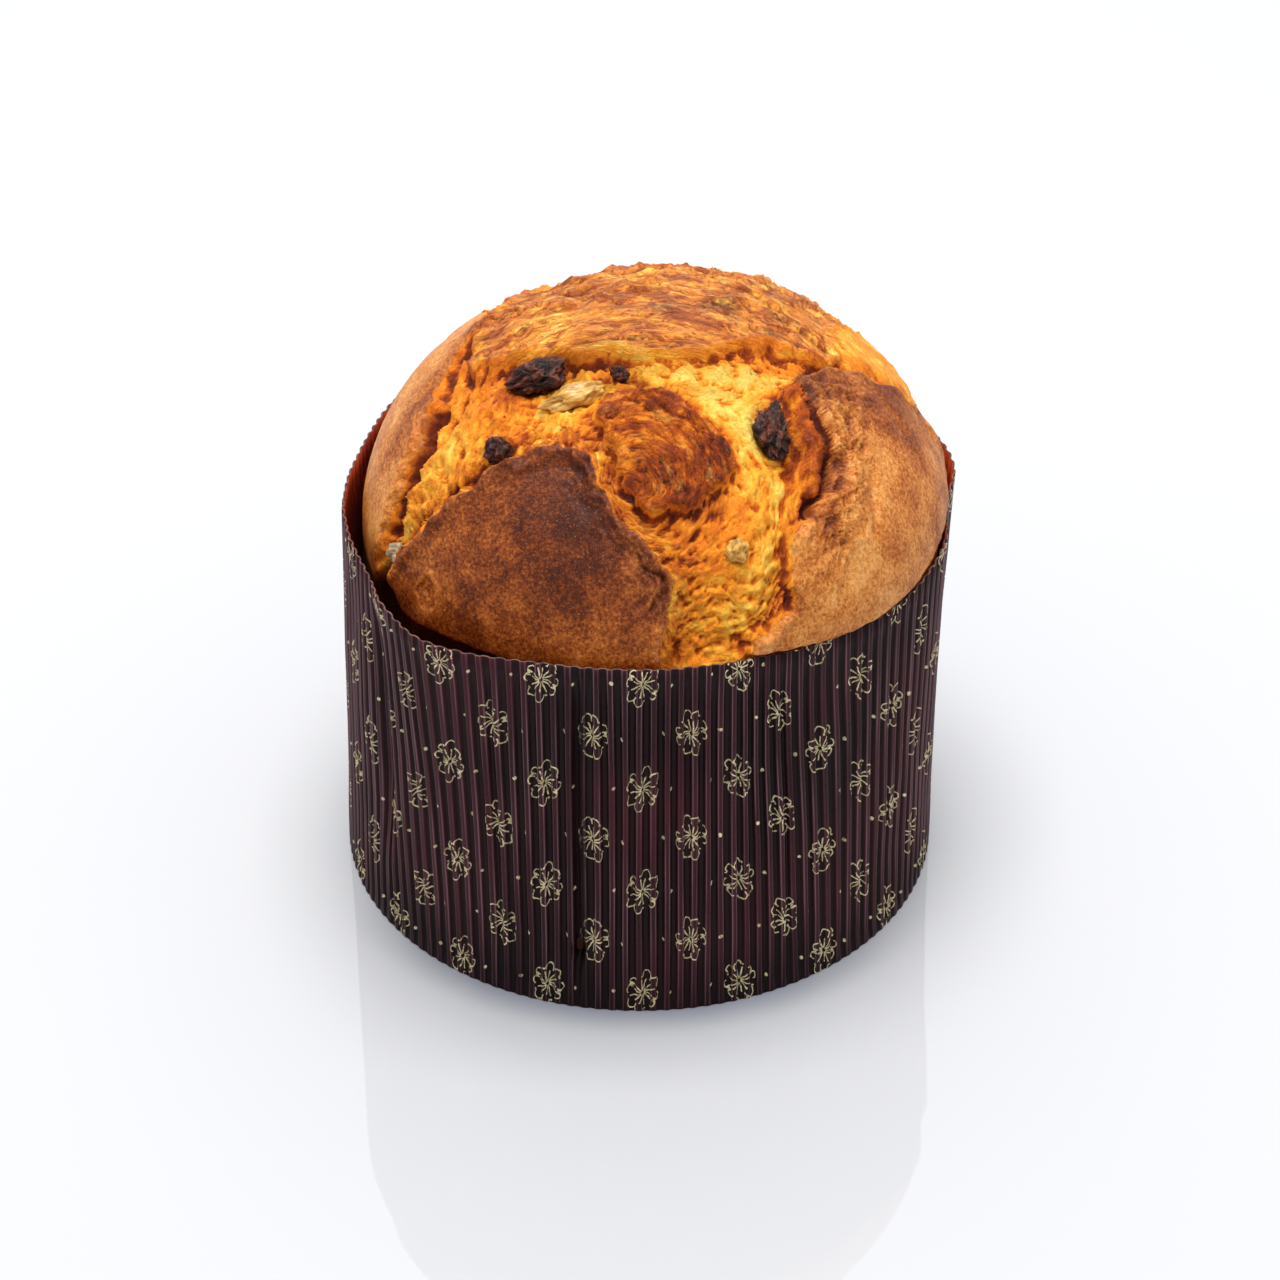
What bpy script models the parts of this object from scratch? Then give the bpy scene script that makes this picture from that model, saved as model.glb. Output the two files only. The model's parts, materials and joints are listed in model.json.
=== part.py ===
"""Panettone in its fluted paper case: a domed loaf, torn open on top, with raisins and candied peel.

Lengths are in metres. The origin is the middle of the case's underside, +Z is up, and -Y is the front.
The torn top is laid out on a map of the dome: a place on it is given in millimetres along the surface
from the top of the dome, u to the right (+X) and v to the back (+Y).
"""
import math

import bmesh
import bpy
import numpy as np
from mathutils import Matrix, Vector

mm = 0.001

# Paper case
BASE_RADIUS = 77.0 * mm          # outside of the flutes at the foot
RIM_RADIUS = 78.0 * mm           # mean outside radius at the rim
RIM_LEAN = 2.2 * mm              # the rim sits this far to the right of the foot
WALL_HEIGHT = 108.0 * mm
WAIST_HEIGHT = 60.0 * mm         # the wall bends here between its foot and its rim
WAIST_SHARE = 0.4                # how much of the rim's lean and dents reaches the waist
FLUTES = 138
FLUTE_DEPTH = 1.3 * mm
FOOT_FLUTE_DEPTH = 1.0 * mm
PAPER = 0.4 * mm
FOOT_HEIGHT = 0.15 * mm          # the wall's lowest edge stands this far above the ground
FOLD_RADIUS = 65.0 * mm          # the wall's lower edge is folded in this far
FOLD_HEIGHT = 1.0 * mm
# dents and bulges of the rim: azimuth and half-width in degrees, outward depth in millimetres
RIM_DENTS = [(-130, 12, 7.5), (-55, 20, -5.5), (-3, 4, -2.4), (10, 6, 1.8), (166, 10, -1.8)]
CRUSH = (-38, 24, 6.5)           # where the loaf leans over the rim and presses it down, in millimetres

# Base board: a disc with a thicker middle that the wall's fold lies round
BOARD_RADIUS = 69.5 * mm
BOARD_RIM = 0.3 * mm
BOARD_MIDDLE_RADIUS = 64.4 * mm
BOARD_HEIGHT = 1.7 * mm

# Loaf
GAP = 0.3 * mm                   # kept between pieces that touch
DOME_CENTRE = Vector((4.0 * mm, 1.3 * mm))
DOME_RADIUS = 74.4 * mm
DOME_FOOT = 98.9 * mm            # height where the dome is widest
DOME_HEIGHT = 57.9 * mm
DOME_ROUNDNESS = (0.97, 0.96)    # powers of the dome's sine and cosine
LOAF_BOTTOM = 2.0 * mm
LOAF_FOOT_ROUND = 4.0 * mm
FILLED_HEIGHT = 40.0 * mm        # the loaf fills the case up to here
FREE_HEIGHT = 92.0 * mm          # and has its own shape from here
SEGMENTS = 96
DOME_RINGS = 25
TOP_CAP = 6.0 * mm               # radius of the last ring round the top

# Torn top, on the dome map in millimetres. Each crust keeps near the dome, the torn crumb lies deeper.
TORN_DEPTH = 5.0
BACK_TORN_DEPTH = 2.2            # the tears are shallower behind the top
BACK_FROM = (-8.0, 18.0)         # they get shallower between these places on the map
CRUSTS = {                       # outline, level against the dome, width of its edge
    "front": ([(-90, -47), (-78, -45), (-60, -44), (-50, -42), (-42, -38), (-30, -33), (-24, -32),
               (-18, -35), (-14, -42), (-11, -50), (-8, -58), (-3, -66), (2, -70), (4, -85), (3, -120),
               (-80, -110), (-112, -60)], 0.6, 7.0),
    "left": ([(-112, -44), (-86, -33), (-75, -28), (-70, -23), (-63, -18), (-57, -17), (-53, -12),
              (-50, -8), (-55, 5), (-48, 14), (-50, 60), (-120, 60)], 0.0, 7.0),
    "right": ([(24, -20), (27, -17), (33, -15), (40, -10), (50, -3), (60, 2), (74, 8), (130, 10),
               (120, -90), (28, -125), (30, -89), (38, -83), (41, -78), (39, -70), (38, -62), (37, -55),
               (38, -46), (36, -38), (34, -30), (24, -28)], 0.5, 7.0),
    "back": ([(-60, 34), (-30, 42), (0, 44), (35, 42), (75, 30), (130, 20), (90, 120), (-90, 120),
              (-120, 60)], 0.0, 9.0),
    "crown": ([(-45, -2), (-20, -3), (-10, -2), (0, -6), (10, -11), (20, -13), (35, -11), (48, -3),
               (50, 10), (40, 30), (0, 42), (-35, 38), (-50, 18)], -0.6, 8.0),
    "middle": ([(-18, -27), (-12, -23), (-5, -22), (2, -24), (8, -28), (14, -33), (19, -40), (20, -45),
                (15, -52), (5, -57), (-5, -55), (-10, -48), (-12, -40), (-17, -33)], -1.4, 8.0),
    "torn_left": ([(-80, -38), (-74, -32), (-66, -26), (-58, -24), (-48, -14), (-38, -14), (-36, -24),
                   (-40, -32), (-52, -38), (-66, -41)], -2.0, 9.0),
    "shoulder": ([(45, 6), (60, 4), (74, 12), (60, 26), (44, 24)], -1.6, 9.0),
}
CLEFTS = [                       # line, depth, half-width
    ([(-84, -34), (-75, -29), (-68, -23), (-58, -17)], 2.6, 4.0),
    ([(-14, -17), (-4, -17), (10, -19), (20, -30), (27, -50), (27, -70)], 2.0, 6.0),
    ([(39, -20), (42, -28), (45, -38)], 2.6, 3.8),
    ([(40, -48), (41, -52)], 2.6, 4.0),
    ([(-8, -44), (-4, -54), (4, -62)], 1.8, 4.5),
]
MOUNDS = [                       # centre u, v, half-lengths along u and v, height
    (-45, -22, 7, 5, 1.6),
    (28, 26, 14, 9, 1.4),
    (-20, 27, 12, 9, -1.3),
    (-24, -34, 7, 6, 1.5),
    (-72, -62, 8, 7, -1.5),
    (12, -72, 8, 8, 0.9),
]
FADE = (90.0, 103.0)             # the tears fade out here, before the dome's widest ring
EDGE_OUT, EDGE_IN = 0.6, 0.4     # shares of a crust's edge width outside and inside its outline

# Fruit: place on the dome map, half-sizes in millimetres along u, v and outwards, depth of its centre
# below the dome, turn on the map in degrees, its finish, and how finely it is divided
WRINKLES = [(0.07, (5.0, 0.0, 3.0)), (0.06, (-2.0, 6.0, 1.0))]   # depth, waves along x, y and z
FRUIT = {
    "raisin_left": ((-29, -14), (8.0, 4.6, 4.2), 1.8, 8, "raisin", 3),
    "raisin_right": ((29, -33), (4.4, 8.2, 4.2), 2.6, 4, "raisin", 3),
    "raisin_small": ((-39, -35), (3.6, 3.8, 3.4), 1.2, 20, "raisin", 2),
    "raisin_tip": ((-9.0, -17.2), (2.8, 1.9, 2.2), 2.6, -30, "raisin", 2),
    "peel_long": ((-20.5, -22.3), (8.2, 3.2, 2.6), 3.0, 14, "peel", 2),
    "peel_small": ((23, -67), (2.8, 3.0, 2.4), 3.2, 0, "peel", 2),
    "peel_pale": ((-85, -41), (3.0, 2.6, 2.4), 2.2, 30, "peel", 2),
}


def smooth(x, low, high):
    """0 below low, 1 above high, and a smooth rise between them."""
    s = np.clip((x - low) / (high - low), 0.0, 1.0)
    return s * s * (3.0 - 2.0 * s)


def bump(x, centre, half_width):
    """A bell of height 1 round centre, on angles in degrees."""
    away = (x - centre + 180.0) % 360.0 - 180.0
    return math.exp(-0.5 * (away / half_width) ** 2)


def line_distance(u, v, points, closed=False):
    """Distance from (u, v) to a line through the points."""
    best = np.full(np.shape(u), 1e9)
    ends = points[1:] + points[:1] if closed else points[1:]
    for (ax, ay), (bx, by) in zip(points, ends):
        dx, dy = bx - ax, by - ay
        along = np.clip(((u - ax) * dx + (v - ay) * dy) / (dx * dx + dy * dy), 0.0, 1.0)
        best = np.minimum(best, np.hypot(u - ax - along * dx, v - ay - along * dy))
    return best


def inside(u, v, points):
    """True where (u, v) lies in the closed outline."""
    found = np.zeros(np.shape(u), bool)
    for (ax, ay), (bx, by) in zip(points, points[1:] + points[:1]):
        if ay != by:
            crosses = (ay > v) != (by > v)
            found ^= crosses & (u < (bx - ax) * (v - ay) / (by - ay) + ax)
    return found


def relief(u, v):
    """Height of the loaf's surface against the smooth dome, in metres, at a place on the dome map."""
    floor = -TORN_DEPTH + (TORN_DEPTH - BACK_TORN_DEPTH) * smooth(v, *BACK_FROM)
    level = floor
    for outline, height, edge in CRUSTS.values():
        away = line_distance(u, v, outline, closed=True)
        away = np.where(inside(u, v, outline), away, -away)
        share = smooth(away, -EDGE_OUT * edge, EDGE_IN * edge)
        level = np.maximum(level, floor + (height - floor) * share)
    for line, depth, half_width in CLEFTS:
        level = level - depth * np.exp(-(line_distance(u, v, line) / half_width) ** 2)
    for cu, cv, half_u, half_v, height in MOUNDS:
        level = level + height * np.exp(-((u - cu) / half_u) ** 2 - ((v - cv) / half_v) ** 2)
    return level * mm * (1.0 - smooth(np.hypot(u, v), *FADE))


def dome_profile(steps=400):
    """The dome's outline from its top to its widest ring: distance along it, radius and height."""
    t = np.linspace(0.0, math.pi / 2, steps)
    power_r, power_z = DOME_ROUNDNESS
    radius = DOME_RADIUS * np.sin(t) ** power_r
    height = DOME_FOOT + DOME_HEIGHT * np.clip(np.cos(t), 0.0, 1.0) ** power_z
    along = np.concatenate([[0.0], np.cumsum(np.hypot(np.diff(radius), np.diff(height)))])
    return along, radius, height


ALONG, PROFILE_RADIUS, PROFILE_HEIGHT = dome_profile()


def dome_point(azimuth, along):
    """A point of the smooth dome and its outward normal."""
    radius = np.interp(along, ALONG, PROFILE_RADIUS)
    height = np.interp(along, ALONG, PROFILE_HEIGHT)
    step = 0.5 * mm
    outer, inner = min(along + step, ALONG[-1]), max(along - step, 0.0)
    slope_r = np.interp(outer, ALONG, PROFILE_RADIUS) - np.interp(inner, ALONG, PROFILE_RADIUS)
    slope_z = np.interp(outer, ALONG, PROFILE_HEIGHT) - np.interp(inner, ALONG, PROFILE_HEIGHT)
    across = Vector((math.cos(azimuth), math.sin(azimuth), 0.0))
    normal = (across * -slope_z + Vector((0, 0, slope_r))).normalized()
    point = Vector((*DOME_CENTRE, height)) + across * radius
    return point, normal


def torn_point(azimuth, along):
    """A point of the loaf's torn surface."""
    point, normal = dome_point(azimuth, along)
    u, v = along * math.cos(azimuth) / mm, along * math.sin(azimuth) / mm
    return point + normal * float(relief(np.array(u), np.array(v)))


def rim_radius(azimuth):
    """Outside radius of the case's rim, over its flutes."""
    degrees = math.degrees(azimuth)
    dents = sum(depth * mm * bump(degrees, centre, width) for centre, width, depth in RIM_DENTS)
    return RIM_RADIUS + RIM_LEAN * math.cos(azimuth) + dents


def rim_height(azimuth):
    centre, width, depth = CRUSH
    return WALL_HEIGHT - depth * mm * bump(math.degrees(azimuth), centre, width)


def waist_radius(azimuth):
    return BASE_RADIUS + WAIST_SHARE * (rim_radius(azimuth) - BASE_RADIUS)


def wall_radius(azimuth, height):
    """Outside radius of the case over its flutes: straight from foot to waist and from waist to rim."""
    heights = [FOOT_HEIGHT, WAIST_HEIGHT, rim_height(azimuth)]
    radii = [BASE_RADIUS, waist_radius(azimuth), rim_radius(azimuth)]
    return float(np.interp(height, heights, radii))


def room_radius(azimuth, height):
    """The largest radius that stays clear of the wall's inner side."""
    return wall_radius(azimuth, height) - FLUTE_DEPTH - PAPER - GAP


def round_point(azimuth, radius, height):
    return Vector((radius * math.cos(azimuth), radius * math.sin(azimuth), height))


def place_ring(ring, place):
    """Moves a ring's points to where place(azimuth) says."""
    for k, vertex in enumerate(ring):
        vertex.co = place(2 * math.pi * k / len(ring))


def next_ring(bm, ring, place):
    """Extrudes a ring by one step and moves the new ring's points."""
    edges = [bm.edges.get((a, b)) for a, b in zip(ring, ring[1:] + ring[:1])]
    made = bmesh.ops.extrude_edge_only(bm, edges=edges)["geom"]
    new = {v for v in made if isinstance(v, bmesh.types.BMVert)}
    grown = [next(e.other_vert(v) for e in v.link_edges if e.other_vert(v) in new) for v in ring]
    place_ring(grown, place)
    return grown


def loft(name, segments, places, closed=False):
    """One ring after another: a tube that ends in itself, or a body with a point at each end."""
    bm = bmesh.new()
    first = bmesh.ops.create_circle(bm, segments=segments, radius=1.0)["verts"]
    rings = [first]
    place_ring(first, places[0])
    for place in places[1:]:
        rings.append(next_ring(bm, rings[-1], place))
    ends = [[bm.edges.get((a, b)) for a, b in zip(r, r[1:] + r[:1])] for r in (rings[0], rings[-1])]
    if closed:
        bmesh.ops.bridge_loops(bm, edges=ends[0] + ends[1])
    else:
        for ring, edges in zip((rings[0], rings[-1]), ends):
            middle = sum((v.co for v in ring), Vector()) / len(ring)
            cap = bmesh.ops.edgeloop_fill(bm, edges=edges)["faces"]
            centre = bmesh.ops.poke(bm, faces=cap)["verts"][0]
            centre.co = middle
    bmesh.ops.recalc_face_normals(bm, faces=bm.faces[:])
    return new_object(name, bm)


def new_object(name, bm):
    mesh = bpy.data.meshes.new(name)
    bm.to_mesh(mesh)
    bm.free()
    obj = bpy.data.objects.new(name, mesh)
    bpy.context.scene.collection.objects.link(obj)
    return obj


def material(name, colour, roughness):
    made = bpy.data.materials.new(name)
    made.use_nodes = True
    shader = made.node_tree.nodes["Principled BSDF"]
    shader.inputs["Base Color"].default_value = (*colour, 1.0)
    shader.inputs["Roughness"].default_value = roughness
    shader.inputs["Metallic"].default_value = 0.0
    return made


def make_case_wall():
    """The fluted band, with its lower edge folded in under the loaf. Its rings run up the outside,
    over the rim and down the inside."""

    def flute(azimuth, depth):
        k = round(azimuth / (math.pi / FLUTES))
        return depth * (k % 2)

    def wall_ring(inset, height_share):
        def place(azimuth):
            if height_share == "rim":
                radius, height = rim_radius(azimuth), rim_height(azimuth)
            else:
                radius, height = waist_radius(azimuth), WAIST_HEIGHT
            return round_point(azimuth, radius - flute(azimuth, FLUTE_DEPTH) - inset, height)
        return place

    def foot_ring(inset):
        return lambda a: round_point(
            a, BASE_RADIUS - flute(a, FOOT_FLUTE_DEPTH) - inset, FOOT_HEIGHT + inset)

    def fold_ring(lift):
        return lambda a: round_point(a, FOLD_RADIUS, FOLD_HEIGHT + lift)

    places = [
        fold_ring(0.0), foot_ring(0.0), wall_ring(0.0, "waist"), wall_ring(0.0, "rim"),
        wall_ring(PAPER, "rim"), wall_ring(PAPER, "waist"), foot_ring(PAPER), fold_ring(PAPER),
    ]
    return loft("case_wall", 2 * FLUTES, places, closed=True)


def make_case_base():
    """A turned disc with a thicker middle."""
    places = [
        lambda a: round_point(a, BOARD_RADIUS, 0.0),
        lambda a: round_point(a, BOARD_RADIUS, BOARD_RIM),
        lambda a: round_point(a, BOARD_MIDDLE_RADIUS, BOARD_RIM),
        lambda a: round_point(a, BOARD_MIDDLE_RADIUS, BOARD_HEIGHT),
    ]
    return loft("case_base", SEGMENTS, places)


def body_radius(azimuth, height):
    """The loaf's radius below the rim: it fills the case low down, and has the dome's own width above."""
    dome = dome_point(azimuth, ALONG[-1])[0].xy.length
    if height > DOME_FOOT:
        along = np.interp(-height, -PROFILE_HEIGHT, ALONG)
        dome = dome_point(azimuth, along)[0].xy.length
    room = room_radius(azimuth, height)
    free = float(smooth(height, FILLED_HEIGHT, FREE_HEIGHT))
    return min(room, room + (dome - room) * free)


def make_loaf():
    """The whole loaf as one solid, ring by ring from its bottom to its top."""

    def body_ring(height_of, inset=0.0):
        return lambda a: round_point(a, body_radius(a, height_of(a)) - inset, height_of(a))

    def dome_ring(share):
        def place(azimuth):
            foot = np.interp(-(rim_height(azimuth) + 3.0 * GAP), -PROFILE_HEIGHT, ALONG)
            return torn_point(azimuth, foot + (TOP_CAP - foot) * share)
        return place

    places = [
        body_ring(lambda a: LOAF_BOTTOM, inset=LOAF_FOOT_ROUND),
        body_ring(lambda a: LOAF_BOTTOM + LOAF_FOOT_ROUND),
        body_ring(lambda a: WAIST_HEIGHT),
        body_ring(lambda a: FREE_HEIGHT),
        body_ring(lambda a: rim_height(a) + 1.5 * GAP),
    ]
    places += [dome_ring(k / (DOME_RINGS - 1)) for k in range(DOME_RINGS)]
    return loft("loaf", SEGMENTS, places)


def make_fruit(name, grow=0.0):
    """A wrinkled raisin or a piece of peel, part sunk in the crumb. With grow it is the tool for its bed."""
    (u, v), half, depth, turn, _, level = FRUIT[name]
    azimuth, along = math.atan2(v, u), math.hypot(u, v) * mm
    place, outwards = dome_point(azimuth, along)
    right = Vector((1, 0, 0)) - outwards * outwards.x
    right.normalize()
    frame = Matrix((right, outwards.cross(right), outwards)).transposed().to_4x4()
    bm = bmesh.new()
    bmesh.ops.create_icosphere(bm, subdivisions=level, radius=1.0)
    for vertex in bm.verts:
        x, y, z = vertex.co
        wave = 1.0 + sum(d * math.sin(a * x + b * y + c * z) for d, (a, b, c) in WRINKLES)
        vertex.co = Vector((x * half[0], y * half[1], z * half[2])) * wave * mm
        vertex.co += vertex.co.normalized() * grow
    turned = Matrix.Rotation(math.radians(turn), 4, "Z")
    centre = place - outwards * depth * mm
    bm.transform(Matrix.Translation(centre) @ frame @ turned)
    return new_object(name if grow == 0.0 else name + "_bed", bm)


def cut_beds(loaf):
    """Cuts a bed into the loaf for each piece of fruit, a gap wider than the fruit."""
    for name in FRUIT:
        tool = make_fruit(name, grow=GAP)
        tool.hide_render = True
        tool.display_type = "WIRE"
        cut = loaf.modifiers.new(name + "_bed", "BOOLEAN")
        cut.operation = "DIFFERENCE"
        cut.solver = "EXACT"
        cut.object = tool


def main():
    for obj in list(bpy.data.objects):
        bpy.data.objects.remove(obj)
    paper = material("case_paper", (0.040, 0.018, 0.022), 0.4)
    board = material("base_board", (0.10, 0.05, 0.04), 0.7)
    crust = material("crust", (0.56, 0.24, 0.065), 0.6)
    finish = {
        "raisin": material("raisin", (0.025, 0.012, 0.014), 0.4),
        "peel": material("candied_peel", (0.42, 0.27, 0.08), 0.3),
    }
    wall = make_case_wall()
    wall.data.materials.append(paper)
    base = make_case_base()
    base.data.materials.append(board)
    loaf = make_loaf()
    loaf.data.materials.append(crust)
    loaf.data.shade_smooth()
    cut_beds(loaf)
    for name, values in FRUIT.items():
        fruit = make_fruit(name)
        fruit.data.materials.append(finish[values[4]])
        fruit.data.shade_smooth()


main()
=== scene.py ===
# Panettone in its paper case: the looks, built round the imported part.
# Metres, +Z up, front at -Y. Places on the torn top are given on a map of the dome, in millimetres
# along the surface from its top: u to the right, v to the back.
import json
import math
from itertools import product

import bpy
import numpy as np
from mathutils import Matrix, Vector

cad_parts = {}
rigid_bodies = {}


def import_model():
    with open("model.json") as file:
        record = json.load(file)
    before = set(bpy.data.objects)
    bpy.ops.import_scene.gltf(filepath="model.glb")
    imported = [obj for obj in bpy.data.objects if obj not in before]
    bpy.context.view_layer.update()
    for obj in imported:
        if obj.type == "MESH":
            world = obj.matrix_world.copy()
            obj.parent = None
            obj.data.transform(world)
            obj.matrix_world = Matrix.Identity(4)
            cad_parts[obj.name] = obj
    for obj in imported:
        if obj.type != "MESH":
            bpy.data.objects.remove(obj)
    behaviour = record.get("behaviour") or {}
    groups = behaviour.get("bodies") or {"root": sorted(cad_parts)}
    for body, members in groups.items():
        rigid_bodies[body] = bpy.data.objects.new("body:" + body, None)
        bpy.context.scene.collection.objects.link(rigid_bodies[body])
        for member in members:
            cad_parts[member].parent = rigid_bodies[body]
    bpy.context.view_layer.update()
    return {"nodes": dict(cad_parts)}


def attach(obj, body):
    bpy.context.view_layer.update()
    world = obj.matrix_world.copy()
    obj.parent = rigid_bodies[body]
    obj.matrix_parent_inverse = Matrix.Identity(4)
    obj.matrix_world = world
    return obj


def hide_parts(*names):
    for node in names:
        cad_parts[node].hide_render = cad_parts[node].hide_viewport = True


mm = 0.001


# Shared helpers

def clearScene():
    for obj in list(bpy.data.objects):
        bpy.data.objects.remove(obj)


def deselectAll():
    if bpy.context.object and bpy.context.object.mode != "OBJECT":
        bpy.ops.object.mode_set(mode="OBJECT")
    bpy.ops.object.select_all(action="DESELECT")


def makeActive(obj):
    deselectAll()
    bpy.context.view_layer.objects.active = obj
    obj.select_set(True)


def editAll():
    bpy.ops.object.mode_set(mode="EDIT")
    bpy.ops.mesh.select_all(action="SELECT")


def endEdit():
    bpy.ops.object.mode_set(mode="OBJECT")


def readPoints(obj):
    points = np.zeros(len(obj.data.vertices) * 3)
    obj.data.vertices.foreach_get("co", points)
    return points.reshape(-1, 3)


def writePoints(obj, points):
    obj.data.vertices.foreach_set("co", points.astype(np.float32).ravel())
    obj.data.update()


def addAttribute(obj, name, values):
    if values.ndim == 1:
        made = obj.data.attributes.new(name, "FLOAT", "POINT")
        made.data.foreach_set("value", values.astype(np.float32))
    else:
        made = obj.data.attributes.new(name, "FLOAT_VECTOR", "POINT")
        made.data.foreach_set("vector", values.astype(np.float32).ravel())


def smooth(x, low, high):
    s = np.clip((x - low) / (high - low), 0.0, 1.0)
    return s * s * (3.0 - 2.0 * s)


def bell(x, halfWidth):
    return np.exp(-(x / halfWidth) ** 2)


def bump(x, centre, halfWidth):  # a bell on angles in degrees
    away = (x - centre + 180.0) % 360.0 - 180.0
    return np.exp(-0.5 * (away / halfWidth) ** 2)


noiseTable = np.random.default_rng(7).normal(size=(1024, 3))
noiseTable /= np.linalg.norm(noiseTable, axis=1)[:, None]


def noise(points, seed=0):  # gradient noise, about -0.7 to 0.7
    cell = np.floor(points).astype(np.int64)
    part = points - cell
    fade = part * part * part * (part * (part * 6.0 - 15.0) + 10.0)
    total = np.zeros(len(points))
    for corner in product((0, 1), repeat=3):
        at = cell + corner
        key = (at[:, 0] * 73856093) ^ (at[:, 1] * 19349663) ^ (at[:, 2] * 83492791) ^ (seed * 374761393)
        key = (key ^ (key >> 13)) * 1274126177
        slope = noiseTable[(key >> 7) & 1023]
        weight = np.prod(np.where(np.array(corner) == 1, fade, 1.0 - fade), axis=1)
        total += weight * np.sum(slope * (part - corner), axis=1)
    return total


def layers(points, count=4, seed=0):  # noise at finer and finer sizes
    total, size = np.zeros(len(points)), 1.0
    for k in range(count):
        total += noise(points / size, seed + k) * size
        size *= 0.5
    return total


def ridges(points, count=3, seed=0):  # 0 to 1, high along thin crooked lines
    total, size, whole = np.zeros(len(points)), 1.0, 0.0
    for k in range(count):
        total += (1.0 - 2.2 * np.abs(noise(points / size, seed + k))) * size
        whole += size
        size *= 0.5
    return np.clip(total / whole, 0.0, 1.0)


def mapPoints(u, v, sizeU, sizeV=None):  # places on the map as noise points
    return np.stack([u / sizeU, v / (sizeV or sizeU), np.zeros_like(u)], axis=1)


def srgb(red, green, blue):
    def linear(c):
        c /= 255.0
        return c / 12.92 if c <= 0.04045 else ((c + 0.055) / 1.055) ** 2.4
    return (linear(red), linear(green), linear(blue), 1.0)


# Helpers for materials: a node is added to the material in hand with its values set, and a socket
# or a number goes in

inHand = {}


def newMaterial(name):
    made = bpy.data.materials.new(name)
    made.use_nodes = True
    inHand["tree"] = made.node_tree
    return made, made.node_tree.nodes["Principled BSDF"]


def addNode(kind):
    return inHand["tree"].nodes.new("ShaderNode" + kind)


def put(socket, value):
    if isinstance(value, bpy.types.NodeSocket):
        inHand["tree"].links.new(value, socket)
    else:
        socket.default_value = value


def fill(node, values):
    for name, value in values.items():
        put(node.inputs[name], value)


def calc(operation, *values):
    node = addNode("Math")
    node.operation = operation
    for socket, value in zip(node.inputs, values):
        put(socket, value)
    return node.outputs[0]


def chain(operation, first, *others):
    for other in others:
        first = calc(operation, first, other)
    return first


def add(*values):
    return chain("ADD", *values)


def times(*values):
    return chain("MULTIPLY", *values)


def timesAdd(value, factor, more):
    return calc("MULTIPLY_ADD", value, factor, more)


def minus(first, second):
    return calc("SUBTRACT", first, second)


def axesOf(vector):  # its x, y and z
    node = addNode("SeparateXYZ")
    put(node.inputs[0], vector)
    return list(node.outputs)


def fit(value, low, high, toLow=0.0, toHigh=1.0):  # a smooth step from low to high
    node = addNode("MapRange")
    node.interpolation_type = "SMOOTHSTEP"
    for socket, number in zip(node.inputs, (value, low, high, toLow, toHigh)):
        put(socket, number)
    return node.outputs[0]


def mix(share, first, second):
    node = addNode("Mix")
    node.data_type = "RGBA"
    put(node.inputs[0], share)
    put(node.inputs[6], first)
    put(node.inputs[7], second)
    return node.outputs[2]


def ramp(value, stops):
    node = addNode("ValToRGB")
    elements = node.color_ramp.elements
    while len(elements) < len(stops):
        elements.new(0.5)
    for element, (position, colour) in zip(elements, stops):
        element.position = position
        element.color = srgb(*colour)
    put(node.inputs[0], value)
    return node.outputs[0]


def attribute(name, output="Fac"):
    node = addNode("Attribute")
    node.attribute_name = name
    return node.outputs[output]


def scaled(vector, scale):
    node = addNode("Mapping")
    fill(node, {"Vector": vector, "Scale": scale})
    return node.outputs[0]


def grain(vector, scale, detail=4.0, roughness=0.55, distortion=0.0, output="Fac"):
    node = addNode("TexNoise")
    fill(node, {"Vector": vector, "Scale": scale, "Detail": detail, "Roughness": roughness,
                  "Distortion": distortion})
    return node.outputs[output]


def cells(vector, scale):
    node = addNode("TexVoronoi")
    fill(node, {"Vector": vector, "Scale": scale})
    return node.outputs["Distance"]


def objectPlace():
    return addNode("TexCoord").outputs["Object"]


def relief(height, distance, strength=1.0):
    node = addNode("Bump")
    fill(node, {"Height": height, "Distance": distance, "Strength": strength})
    return node.outputs[0]


# The form that the wall, the loaf and the fruit share

form = {
    "footRadius": 77.0, "rimRadius": 78.0, "rimLean": 2.2, "wallHeight": 108.0, "waistHeight": 60.0,
    "waistShare": 0.4, "footHeight": 0.15, "paper": 0.4,
    "fluteDepth": 1.3, "footFluteDepth": 1.0, "rimFluteDepth": 0.45,
    # dents and bulges of the rim: azimuth and half-width in degrees, outward depth
    "rimDents": [(-130, 12, 7.5), (-55, 20, -5.5), (-3, 4, -2.4), (10, 6, 1.8), (166, 10, -1.8)],
    "crush": (-38, 24, 6.5),            # the loaf presses the rim down here
    "domeCentre": (4.0, 1.3), "domeRadius": 74.4, "domeFoot": 98.9, "domeHeight": 57.9,
    "domeRoundness": (0.97, 0.96), "gap": 0.3,
}


def rimRadius(degrees):
    dents = sum(depth * bump(degrees, centre, width) for centre, width, depth in form["rimDents"])
    return form["rimRadius"] + form["rimLean"] * np.cos(np.radians(degrees)) + dents


def rimHeight(degrees):
    centre, width, depth = form["crush"]
    return form["wallHeight"] - depth * bump(degrees, centre, width)


def wallRadius(degrees, height):  # outside radius over the flutes
    foot, waist = form["footHeight"], form["waistHeight"]
    rim = rimRadius(degrees)
    middle = form["footRadius"] + form["waistShare"] * (rim - form["footRadius"])
    lower = form["footRadius"] + (middle - form["footRadius"]) * (height - foot) / (waist - foot)
    upper = middle + (rim - middle) * np.clip((height - waist) / (rimHeight(degrees) - waist), 0.0, 1.0)
    return np.where(height < waist, lower, upper)


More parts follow.
